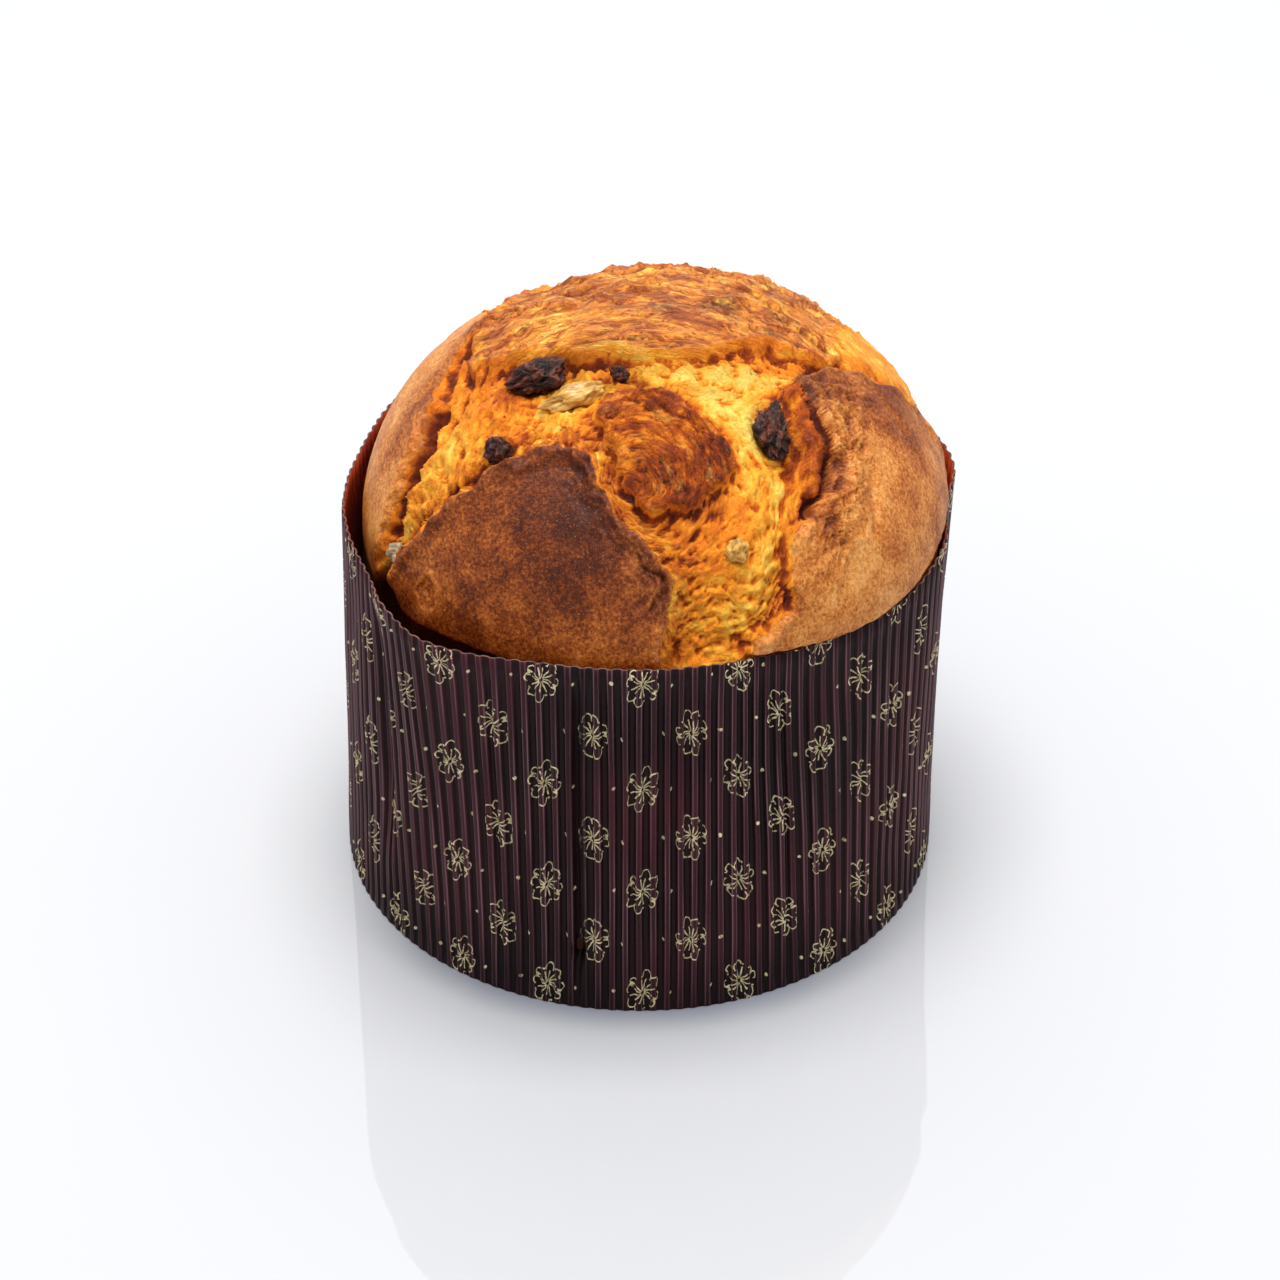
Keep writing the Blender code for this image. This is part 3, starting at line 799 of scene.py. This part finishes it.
def nearLine(u, v, line, halfWidth):
    return bell(lineDistance(u, v, line), halfWidth)


def loafSurface(u, v):
    # level against the dome, and what the finish needs to know of each place
    stray, size = loaf["ragged"]
    rough = mapPoints(u, v, size)
    ragU = u + 2.0 * stray * layers(rough, 5, 31)
    ragV = v + 2.0 * stray * layers(rough, 5, 47)
    floor = -loaf["tornDepth"] + (loaf["tornDepth"] - loaf["backTornDepth"]) * smooth(v, *loaf["backFrom"])
    level, inner = floor.copy(), {}
    lipNoise = 0.25 + 1.4 * smooth(noise(mapPoints(u, v, 8.0), 53), -0.35, 0.4)
    for name, (outline, height, (outside, within), lip) in loaf["crusts"].items():
        away = insideDistance(ragU, ragV, outline)
        share = smooth(away, -outside, within)
        rolled = lip * lipNoise * bell(away - 1.8, 1.6)
        level = np.maximum(level, floor + (height - floor) * share + rolled)
        inner[name] = away
    # painted shade down in the clefts
    cleft = np.zeros_like(u)
    for line, depth, halfWidth in loaf["clefts"]:
        near = nearLine(ragU, ragV, line, halfWidth)
        level -= depth * near
        cleft = np.maximum(cleft, near * min(1.0, depth / 2.4))
    level = addSpots(level, ragU, ragV, loaf["mounds"])

    shape = level.copy()                # the layers show on its steep sides
    flow = flowFrame(u, v)
    front, right, left = (smooth(inner[n], -0.4, 1.0) for n in ("front", "right", "left"))
    skin = np.maximum.reduce([front, right, left, smooth(inner["back"], -1.0, 2.0)])
    crumb = 1.0 - skin
    crown, middle = crumb * smooth(inner["crown"], -1.0, 4.0), crumb * smooth(inner["middle"], -0.6, 1.5)
    valley = crumb * (1.0 - crown) * (1.0 - middle)

    spacing, smallSpacing = loaf["flakes"]
    (wide, wideShadowLine), (narrow, narrowShadowLine) = flakes(flow, spacing, 61), flakes(flow, smallSpacing, 83)
    strands = ridges(flowPoints(flow, 8.0, 2.2), 3, 101)
    lumps = layers(mapPoints(u, v, 5.0), 4, 131)
    swells = layers(mapPoints(u, v, 13.0), 3, 137)
    level += crown * (1.6 * wide + 0.6 * narrow - 0.8 + 0.25 * lumps + 1.7 * swells)
    level += middle * (1.3 * wide + 1.0 * narrow - 0.7 + 0.9 * lumps)
    calm = 1.0 - 0.75 * smooth(inner["shoulder"], -4.0, 4.0)
    level += valley * calm * (2.0 * (strands - 0.5) + 2.0 * lumps + 0.9 * narrow)
    pores = smooth(-noise(mapPoints(u, v, 2.1), 151), 0.26, 0.5)
    level -= crumb * (pores * smooth(noise(mapPoints(u, v, 9.0), 155), -0.2, 0.3))
    gentle = layers(mapPoints(u, v, 24.0), 3, 161)
    level += skin * (0.8 * gentle + 0.12 * layers(mapPoints(u, v, 2.6), 3, 171))
    ridge, band = nearLine(u, v, loaf["frontRidge"], 7.0), nearLine(u, v, loaf["leftBand"], 5.0)
    rightEdge = spot(u, v, 40, -20, 12, 10) + spot(u, v, 49, -40, 8, 22)
    wrinkled = np.clip(ridge * front + right * rightEdge, 0.0, 1.0)
    edge = np.maximum(inner["front"], inner["right"])
    wrinkles = ridges(np.stack([u / 8.0, v / 8.0, edge / 2.4], axis=1), 3, 181)
    level += wrinkled * 4.0 * (wrinkles - 0.5)
    slope = valley * bell(np.minimum(inner["front"], 0.0), 7.0)  # the front crust's torn side

    # how brown each place is, 0 pale to 1 almost black
    patches, small = layers(mapPoints(u, v, 11.0), 4, 201), layers(flowPoints(flow, 7.0, 5.0), 4, 211)
    baked = 0.16 + 0.10 * smooth(level - floor, 0.5, 4.2) + 0.10 * (strands - 0.3) + 0.10 * patches
    baked += crown * (0.12 + 0.12 * wide + 0.10 * narrow + 0.26 * patches + 0.36 * small)
    baked += middle * (0.34 + 0.14 * wide + 0.10 * narrow + 0.26 * small)
    baked += valley * (0.10 * narrow + 0.12 * lumps)
    # torn edges are baked next to the crusts
    baked += slope * (0.05 + 0.35 * small + 0.2 * (strands - 0.5))
    # painted shade: browner under the crown's front lip, at the left
    baked += 0.20 * valley * smooth(-u, -4.0, 8.0) * np.exp(np.minimum(inner["crown"], 0.0) / 2.5)
    pocket = crumb * smooth(inner["pocket"], -1.5, 0.5)
    baked += pocket * (0.17 + 0.5 * (strands - 0.4))
    baked += valley * (0.12 * np.exp(np.minimum(inner["right"], 0.0) / 2.2)
                       + 0.20 * np.exp(np.minimum(inner["left"], 0.0) / 1.6))
    baked = addSpots(baked, ragU, ragV, loaf["crumbTones"])
    crustBaked = 0.30 + 0.14 * gentle + 0.18 * patches
    # the front crust is browner: partly its own baking, partly painted shade on the side that faces away
    # from the light
    crustBaked = crustBaked + 0.32 * front + 0.08 * front * ridge + 0.24 * left * band
    crustBaked += 0.20 * front * spot(u, v, -22, -66, 16, 28)
    crustBaked += 0.05 * right
    # the right crust is stretched into upright folds along its torn side
    folded = right * spot(u, v, 50, -40, 10, 26)
    folds = ridges(np.stack([(u + 0.12 * v) / 4.5, v / 26.0, np.zeros_like(u)], axis=1), 3, 191)
    level += folded * 1.8 * (folds - 0.5)
    # painted shade: darker down in the furrows between the folds
    crustBaked += folded * 0.55 * (0.5 - folds)
    # painted shade in the wrinkles' hollows and painted highlight on their crests
    crustBaked += wrinkled * 0.80 * (0.55 - wrinkles)
    crustBaked = addSpots(crustBaked, ragU, ragV, loaf["crustTones"])
    blisterU, blisterV, blisterRadius = loaf["blister"]
    fromBlister = np.hypot(ragU - blisterU, (ragV - blisterV) * 1.2)
    rim = bell(fromBlister - blisterRadius, 1.1) + 0.6 * bell(fromBlister - 2.2, 0.8)
    level += 0.6 * front * rim
    # painted highlight on the blister's raised rim
    crustBaked -= 0.15 * rim
    baked = baked * crumb + crustBaked * skin
    rightTop = spot(u, v, 38, -15, 14, 8) + spot(u, v, 62, 0, 16, 6)
    purple = front * ridge + right * rightTop + 0.7 * left * band
    fade = 1.0 - smooth(np.hypot(u, v), *loaf["fade"])
    cleft = np.maximum(cleft, (0.55 * wideShadowLine + 0.35 * narrowShadowLine) * (crown + 0.8 * middle + 0.2 * slope))
    flaky = crown + middle + 0.5 * slope + 0.35 * valley
    looks = {"baked": baked, "torn": crumb, "purple": purple, "cleft": cleft * (0.3 + 0.7 * fade),
             "flaky": flaky, "shade": overhung(ragU, ragV), "dryAndSheen": crown,
             "scorched": crown + 0.55 * middle + 0.6 * slope}
    looks = {name: np.clip(values, 0.0, 1.0) for name, values in looks.items()}
    looks["flow"] = np.stack([flow[0], flow[1], flow[2] + 1.2 * shape], axis=1)
    return level * fade - standBack(u, v), looks


def gridCavity(level, side, rounds):
    # how far each point of the square grid lies below its surroundings, in millimetres
    square = level[:side * side].reshape(side, side)
    soft = square
    for _ in range(rounds):
        for axis in (0, 1):
            soft = (np.roll(soft, 1, axis) + soft + np.roll(soft, -1, axis)
                    + np.roll(soft, 2, axis) + np.roll(soft, -2, axis)) / 5.0
    cavityShade = np.zeros_like(level)
    cavityShade[:side * side] = (soft - square).ravel()
    return cavityShade


def drawnIn(degrees):
    azimuth, halfWidth, depth = loaf["drawnIn"]
    return depth * bump(degrees, azimuth, halfWidth)


def overhung(u, v):  # 1 under the overhang, 0 outside it
    return smooth(insideDistance(u, v, loaf["under"][0]), -0.5, 3.5)


def standBack(u, v):
    around = drawnIn(np.degrees(np.arctan2(v, u))) * smooth(np.hypot(u, v), 80.0, 102.0)
    return around + loaf["under"][1] * overhung(u, v)


def bodyRadius(degrees, height):
    # the loaf fills the case low down, and has the dome's own width above
    azimuth = np.radians(degrees)
    centreX, centreY = form["domeCentre"]
    radius = form["domeRadius"]
    dome = np.hypot(centreX + radius * np.cos(azimuth), centreY + radius * np.sin(azimuth))
    room = roomRadius(degrees, height)
    free = smooth(height, loaf["filledHeight"], loaf["freeHeight"])
    back = standBack(domeReach * np.cos(azimuth), domeReach * np.sin(azimuth))
    return np.minimum(room, room + (dome - room) * free) - back * smooth(height, 60.0, 92.0)


def loafMaterial():
    made, shader = newMaterial("bakedLoaf")
    place, flow = objectPlace(), attribute("flow", "Vector")
    baked, torn = attribute("baked"), attribute("torn")
    purple, cleft = attribute("purple"), attribute("cleft")
    flaky, cavityShade, hollowShade = attribute("flaky"), attribute("cavityShade"), attribute("hollowShade")
    fine = grain(place, 1100.0, 4.0, 0.75)            # specks well under a millimetre
    blotch = grain(place, 170.0, 6.0, 0.65)
    streak = grain(scaled(flow, (0.20, 0.20, 0.60)), 1.0, 7.0, 0.72, 0.6)
    thread = grain(scaled(flow, (0.5, 0.5, 1.6)), 1.0, 5.0, 0.7, 0.5)
    pore = cells(place, 560.0)
    across = axesOf(flow)[2]

    def spread(value, amount):  # round 0, this much each way
        return timesAdd(value, amount, -0.5 * amount)

    def sheets(spacing, seed):  # thin layers: height at their free edges, and the painted shadow line below
        bend = grain(scaled(flow, (0.32 / spacing, 0.32 / spacing, 0.2 / spacing)), 1.0 + seed, 5.0, 0.6)
        t = add(calc("DIVIDE", across, spacing), times(bend, 7.0))
        part = calc("FRACT", t)
        rise = times(fit(part, 0.0, 0.10), minus(1.0, part))
        line = add(fit(part, 0.03, 0.12, 1.0, 0.0), fit(part, 0.93, 1.0))
        some = times(fit(streak, 0.38, 0.56), flaky)
        return times(rise, some), times(line, some)

    (rise, line), (smallRise, smallShadowLine) = sheets(3.4, 0.0), sheets(1.7, 0.37)
    varied = add(spread(streak, 1.1), spread(thread, 0.45), spread(blotch, 0.6))
    varied = times(varied, timesAdd(flaky, 0.45, 0.55))
    # the crumb is painted browner down in its cavities and hollows, as shade
    crumb = ramp(add(
        baked, varied, fit(hollowShade, 0.0, 2.8, 0.0, 0.24), times(rise, 0.10),
        fit(cavityShade, 0.0, 0.9, 0.0, 0.38)), loaf["crumbColours"])
    crust = ramp(add(baked, spread(fine, 1.3), spread(blotch, 0.7)), loaf["crustColours"])
    crust = mix(times(purple, 0.45), crust, srgb(84, 32, 18))
    specks = grain(place, 1900.0, 2.0, 0.6)
    crust = mix(fit(specks, 0.60, 0.72, 0.0, 0.35), crust, srgb(206, 134, 66))
    # the crown paler: its drier crumb, and a painted sheen where the top catches the light
    dryAndSheen = fit(add(attribute("dryAndSheen"), spread(blotch, 1.6)), 0.2, 1.0, 0.0, 0.16)
    crumb = mix(dryAndSheen, crumb, srgb(246, 190, 128))
    scorch = grain(scaled(flow, (0.085, 0.085, 0.26)), 1.0, 7.0, 0.68, 0.8)
    scorched = times(fit(scorch, 0.50, 0.60, 0.0, 0.75), attribute("scorched"))
    crumb = mix(scorched, crumb, srgb(148, 64, 20))
    pale = times(fit(scorch, 0.36, 0.46, 0.5, 0.0), attribute("scorched"))
    crumb = mix(pale, crumb, srgb(255, 196, 92))
    broken = fit(add(torn, spread(blotch, 0.8)), 0.3, 0.7)
    colour = mix(broken, crust, crumb)
    # painted shade: shadow lines under the layers' edges and shade down in the clefts
    paintedShade = calc("MAXIMUM", times(line, 0.7), times(smallShadowLine, 0.4))
    paintedShade = calc("MAXIMUM", fit(cleft, 0.25, 1.0, 0.0, 0.85), paintedShade)
    colour = mix(paintedShade, colour, srgb(104, 34, 6))
    # painted shade down in the case and under the overhang
    down = fit(axesOf(place)[2], 97 * mm, 100 * mm, 1.0, 0.0)
    low = times(calc("MAXIMUM", attribute("shade"), down), 0.92)
    holes = fit(pore, 0.05, 0.35, -0.35, 0.0)
    crumbHeight = add(streak, times(thread, 0.7), holes, times(blotch, 0.6),
                      times(rise, 0.8), times(smallRise, 0.4))
    height = add(times(crumbHeight, broken), times(fine, 0.32))
    fill(shader, {
        "Base Color": mix(low, colour, srgb(44, 14, 7)), "Specular IOR Level": loaf["specular"],
        "Roughness": timesAdd(fine, 0.3, 0.32),
        "Normal": relief(height, loaf["reliefDepth"] * mm, 0.9),
        "Subsurface Weight": loaf["subsurface"][0], "Subsurface Scale": loaf["subsurface"][1] * mm,
        "Subsurface Radius": (1.0, 0.4, 0.1)})
    return made


def makeLoaf():
    size, bodyStep = loaf["grid"], 0.05
    deselectAll()
    bpy.ops.mesh.primitive_grid_add(x_subdivisions=size, y_subdivisions=size, size=2.0)
    bread = bpy.context.object
    bread.name = "bakedLoaf"
    editAll()
    bpy.ops.mesh.region_to_loop()
    for _ in loaf["bodyHeights"]:
        bpy.ops.mesh.extrude_edges_move(TRANSFORM_OT_translate={"value": (0.0, 0.0, -bodyStep)})
    bpy.ops.mesh.edge_face_add()
    bpy.ops.mesh.poke()
    endEdit()

    # the square grid becomes a disc on the dome map, a little denser at the front
    points = readPoints(bread)
    ring = np.round(-points[:, 2] / bodyStep).astype(int)
    a, b = points[:, 0], points[:, 1]
    wide = np.abs(a) > np.abs(b)
    big, small = np.where(wide, a, b), np.where(wide, b, a)
    turn = math.pi / 4 * small / np.where(big == 0.0, 1.0, big)
    angle = np.where(wide, turn, math.pi / 2 - turn)
    discX, discY = big * np.cos(angle), big * np.sin(angle)
    discY = discY - loaf["towardsFront"] * (1.0 - discX ** 2 - discY ** 2)
    u, v = discX * domeReach, discY * domeReach
    dome, normal = domePoints(u, v)
    level, looks = loafSurface(u, v)
    level = fruitBeds(u, v, level)
    looks["cavityShade"] = gridCavity(level, size + 1, 3)
    looks["hollowShade"] = gridCavity(level, size + 1, 22)
    placed = dome + normal * level[:, None]

    # the highest layers stay below the top
    start, room = loaf["topRoom"]
    high = placed[:, 2] - start
    placed[:, 2] = np.where(high > 0.0, start + room * np.tanh(high / room * 0.9), placed[:, 2])

    # below its widest ring the loaf goes down into the case
    body = ring > 0
    degrees = np.degrees(np.arctan2(dome[:, 1], dome[:, 0]))
    heights = np.array([form["domeFoot"]] + loaf["bodyHeights"])[ring]
    radius = bodyRadius(degrees, heights)
    radius = np.where(ring == len(loaf["bodyHeights"]), radius - loaf["footRound"], radius)
    middle = body & (np.hypot(a, b) < 0.5)
    radius[middle] = 0.0
    for axis, wave in ((0, np.cos), (1, np.sin)):
        placed[:, axis] = np.where(body, radius * wave(np.radians(degrees)), placed[:, axis])
    placed[:, 2] = np.where(body, heights, placed[:, 2])

    # clear of the wall up to the rim, free above it
    degrees = np.degrees(np.arctan2(placed[:, 1], placed[:, 0]))
    reach = np.hypot(placed[:, 0], placed[:, 1])
    limit = roomRadius(degrees, placed[:, 2]) + 8.0 * smooth(placed[:, 2] - rimHeight(degrees), 0.2, 3.0)
    shrink = np.minimum(1.0, limit / np.maximum(reach, 1e-6))
    placed[:, 0] *= shrink
    placed[:, 1] *= shrink
    writePoints(bread, placed * mm)
    for name, values in looks.items():
        addAttribute(bread, name, values)
    makeActive(bread)
    editAll()
    bpy.ops.mesh.normals_make_consistent(inside=False)
    endEdit()
    bpy.ops.object.shade_smooth()
    bread.data.materials.append(loafMaterial())
    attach(bread, "root")
    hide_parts("loaf")
    print("loaf", len(bread.data.polygons), "faces")


# Raisins and candied peel: place on the dome map, half-sizes along u, v and outwards, depth of the centre
# below the dome, turn in degrees, finish, divisions, wrinkle depth

fruit = {
    "raisin_left": ((-29.5, -14), (8.2, 4.8, 4.4), 1.8, 8, "raisin", 6, 0.42),
    "raisin_right": ((30.5, -32), (4.8, 8.2, 4.4), 2.4, 4, "raisin", 6, 0.40),
    "raisin_small": ((-41, -35.5), (3.6, 3.8, 3.4), 0.4, 20, "raisin", 5, 0.34),
    "raisin_tip": ((-9.0, -17.2), (2.8, 1.9, 2.2), 2.6, -30, "raisin", 5, 0.3),
    "peel_long": ((-20.5, -22.3), (8.2, 3.2, 2.6), 3.0, 14, "peel", 5, 0.10),
    "peel_small": ((23, -67), (2.8, 3.0, 2.4), 3.2, 0, "peel", 5, 0.10),
    "peel_pale": ((-85, -41), (3.0, 2.6, 2.4), 2.2, 30, "pale", 5, 0.08),
}
fruitWaves = [(0.07, (5.0, 0.0, 3.0)), (0.06, (-2.0, 6.0, 1.0))]   # depth, waves along x, y and z
fruitColours = {
    "raisin": [(0.0, (8, 4, 4)), (0.4, (20, 9, 8)), (0.7, (50, 22, 16)), (1.0, (112, 58, 42))],
    "peel": [(0.0, (110, 74, 24)), (0.5, (168, 122, 46)), (1.0, (214, 168, 78))],
    "pale": [(0.0, (100, 82, 58)), (0.5, (142, 124, 94)), (1.0, (176, 160, 130))],
}


def fruitBeds(u, v, level):
    # the crumb dips under each piece and rises a little round it
    for (cu, cv), (halfU, halfV, halfOut), depth, turn, *_ in fruit.values():
        angle = math.radians(turn)
        x = (u - cu) * math.cos(angle) + (v - cv) * math.sin(angle)
        y = (v - cv) * math.cos(angle) - (u - cu) * math.sin(angle)
        away = np.hypot(x / (halfU + 0.3), y / (halfV + 0.3))
        bowl = -depth - (halfOut + 0.3) * np.sqrt(np.clip(1.0 - away ** 2, 0.0, 1.0))
        level = np.where(away < 1.0, np.minimum(level, bowl), level)
        level = level + 0.5 * bell(away - 1.25, 0.16)
    return level


def raisinMaterial():
    made, shader = newMaterial("raisinSkin")
    place = objectPlace()
    # painted shade: the skin darkest down in its folds
    tone = add(attribute("fold"), timesAdd(grain(place, 420.0, 5.0), 0.7, -0.35))
    fill(shader, {
        "Base Color": ramp(tone, fruitColours["raisin"]), "Specular IOR Level": 0.2,
        "Roughness": fit(grain(place, 700.0), 0.3, 0.7, 0.28, 0.6),
        "Normal": relief(grain(place, 900.0, 4.0), 0.3 * mm, 0.6)})
    return made


def peelMaterial(name, stops):
    made, shader = newMaterial(name)
    place = objectPlace()
    specks = fit(cells(place, 700.0), 0.10, 0.26, 0.45, 0.0)
    tone = add(attribute("fold"), timesAdd(grain(place, 300.0), 0.8, -0.4))
    fill(shader, {
        "Base Color": mix(specks, ramp(tone, stops), srgb(74, 52, 24)),
        "Roughness": fit(grain(place, 500.0), 0.3, 0.7, 0.18, 0.42),
        "Normal": relief(grain(place, 600.0, 4.0), 0.3 * mm, 0.5),
        "Subsurface Weight": 0.35, "Subsurface Radius": (1.0, 0.7, 0.3), "Subsurface Scale": 2.5 * mm})
    return made


def makeFruit():
    finishes = {"raisin": raisinMaterial(), "peel": peelMaterial("candiedPeel", fruitColours["peel"]),
                "pale": peelMaterial("palePeel", fruitColours["pale"])}
    for number, (name, values) in enumerate(fruit.items()):
        (u, v), half, depth, turn, finish, level, wrinkle = values
        dome, normal = domePoints(np.array([float(u)]), np.array([float(v)]))
        outwards = Vector(normal[0])
        right = (Vector((1, 0, 0)) - outwards * outwards.x).normalized()
        turned = Matrix.Rotation(math.radians(turn), 3, "Z")
        axes = Matrix((right, outwards.cross(right), outwards)).transposed() @ turned
        deselectAll()
        bpy.ops.mesh.primitive_ico_sphere_add(subdivisions=level, radius=1.0)
        piece = bpy.context.object
        piece.name = name.replace("_", "") + "Piece"
        points = readPoints(piece)
        folds = ridges(points * 1.7 + 0.5 * noise(points * 2.0, 7)[:, None] + number * 7.3, 4, 300 + number)
        lump = layers(points * 1.3 + number * 3.1, 3, 340 + number)
        waves = 1.0 + sum(d * np.sin(points @ np.array(w)) for d, w in fruitWaves)
        swell = waves * (1.0 - wrinkle * (1.0 - folds) + 0.42 * lump)
        shaped = points * swell[:, None] * np.array(half)
        centre = dome[0] - normal[0] * (depth + standBack(u, v))
        writePoints(piece, (centre + shaped @ np.array(axes).T) * mm)
        addAttribute(piece, "fold", np.clip(folds, 0.0, 1.0))
        makeActive(piece)
        bpy.ops.object.shade_smooth()
        piece.data.materials.append(finishes[finish])
        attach(piece, "root")
        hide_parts(name)
    print("fruit", len(fruit), "pieces")


# Floor, light and camera

studio = {
    "world": (0.98, 0.98, 1.0), "worldStrength": 0.90,
    "floorColour": (0.528, 0.541, 0.572, 1.0), "floorRoughness": 0.01, "floorSize": 8.0,
    # a painted contact shadow darkens the floor close in front of the case: from and to which radius, how
    # much, and between which places from front to back that fades, in millimetres
    "contactShadowColour": (0.20, 0.22, 0.30, 1.0), "contactShadowReach": (75, 88), "contactShadowShare": 0.72,
    "contactShadowFront": (-78, -30),
    # name, place, aim, size, watts, colour
    "lights": [
        ("keyPanel", (-0.04, 0.0, 1.5), (0, 0, 0.1), 0.7, 20.0, (1.0, 0.97, 0.92)),
        ("backPanel", (0.0, 1.9, 1.6), (0, 0, 0.1), 2.4, 15.0, (1.0, 0.98, 0.95)),
    ],
    "exposure": 0.0,
}
camera = {"distance": 1.3006, "elevation": 36.35, "aim": (0.0002, 0.0, 0.0603), "lens": 141.3}


def makeStudio():
    deselectAll()
    bpy.ops.mesh.primitive_plane_add(size=studio["floorSize"])
    floor = bpy.context.object
    floor.name = "studioFloor"
    made, shader = newMaterial("glossyFloor")
    place = objectPlace()
    x, y, _ = axesOf(place)
    near, far = (edge * mm for edge in studio["contactShadowReach"])
    front, back = (edge * mm for edge in studio["contactShadowFront"])
    contactShadow = times(fit(length(x, y), near, far, studio["contactShadowShare"], 0.0),
                    fit(y, front, back, 1.0, 0.1))
    fill(shader, {
        "Base Color": mix(contactShadow, studio["floorColour"], studio["contactShadowColour"]),
        "Roughness": timesAdd(grain(place, 3.0, 2.0), 0.02, studio["floorRoughness"])})
    floor.data.materials.append(made)
    world = bpy.data.worlds.new("whiteStudio")
    bpy.context.scene.world = world
    world.use_nodes = True
    background = world.node_tree.nodes["Background"]
    background.inputs["Color"].default_value = (*studio["world"], 1.0)
    background.inputs["Strength"].default_value = studio["worldStrength"]
    for name, place, aim, size, watts, colour in studio["lights"]:
        light = bpy.data.lights.new(name, "AREA")
        light.shape = "SQUARE"
        light.size = size
        light.energy = watts
        light.color = colour
        lamp = bpy.data.objects.new(name, light)
        bpy.context.scene.collection.objects.link(lamp)
        lamp.location = place
        lamp.rotation_euler = (Vector(aim) - Vector(place)).to_track_quat("-Z", "Y").to_euler()
    view = bpy.context.scene.view_settings
    view.view_transform = "Standard"
    view.exposure = studio["exposure"]
    print("studio")


def makeCamera():
    lens = bpy.data.cameras.new("photoCamera")
    lens.lens = camera["lens"]
    lens.sensor_width = 36.0
    made = bpy.data.objects.new("photoCamera", lens)
    bpy.context.scene.collection.objects.link(made)
    lift = math.radians(camera["elevation"])
    aim = Vector(camera["aim"])
    made.location = aim + Vector((0.0, -math.cos(lift), math.sin(lift))) * camera["distance"]
    made.rotation_euler = (aim - made.location).to_track_quat("-Z", "Y").to_euler()
    bpy.context.scene.camera = made


clearScene()
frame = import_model()
makeCaseWall()
board = frame["nodes"]["case_base"]
finishBaseBoard(board)
makeLoaf()
makeFruit()
makeStudio()
makeCamera()
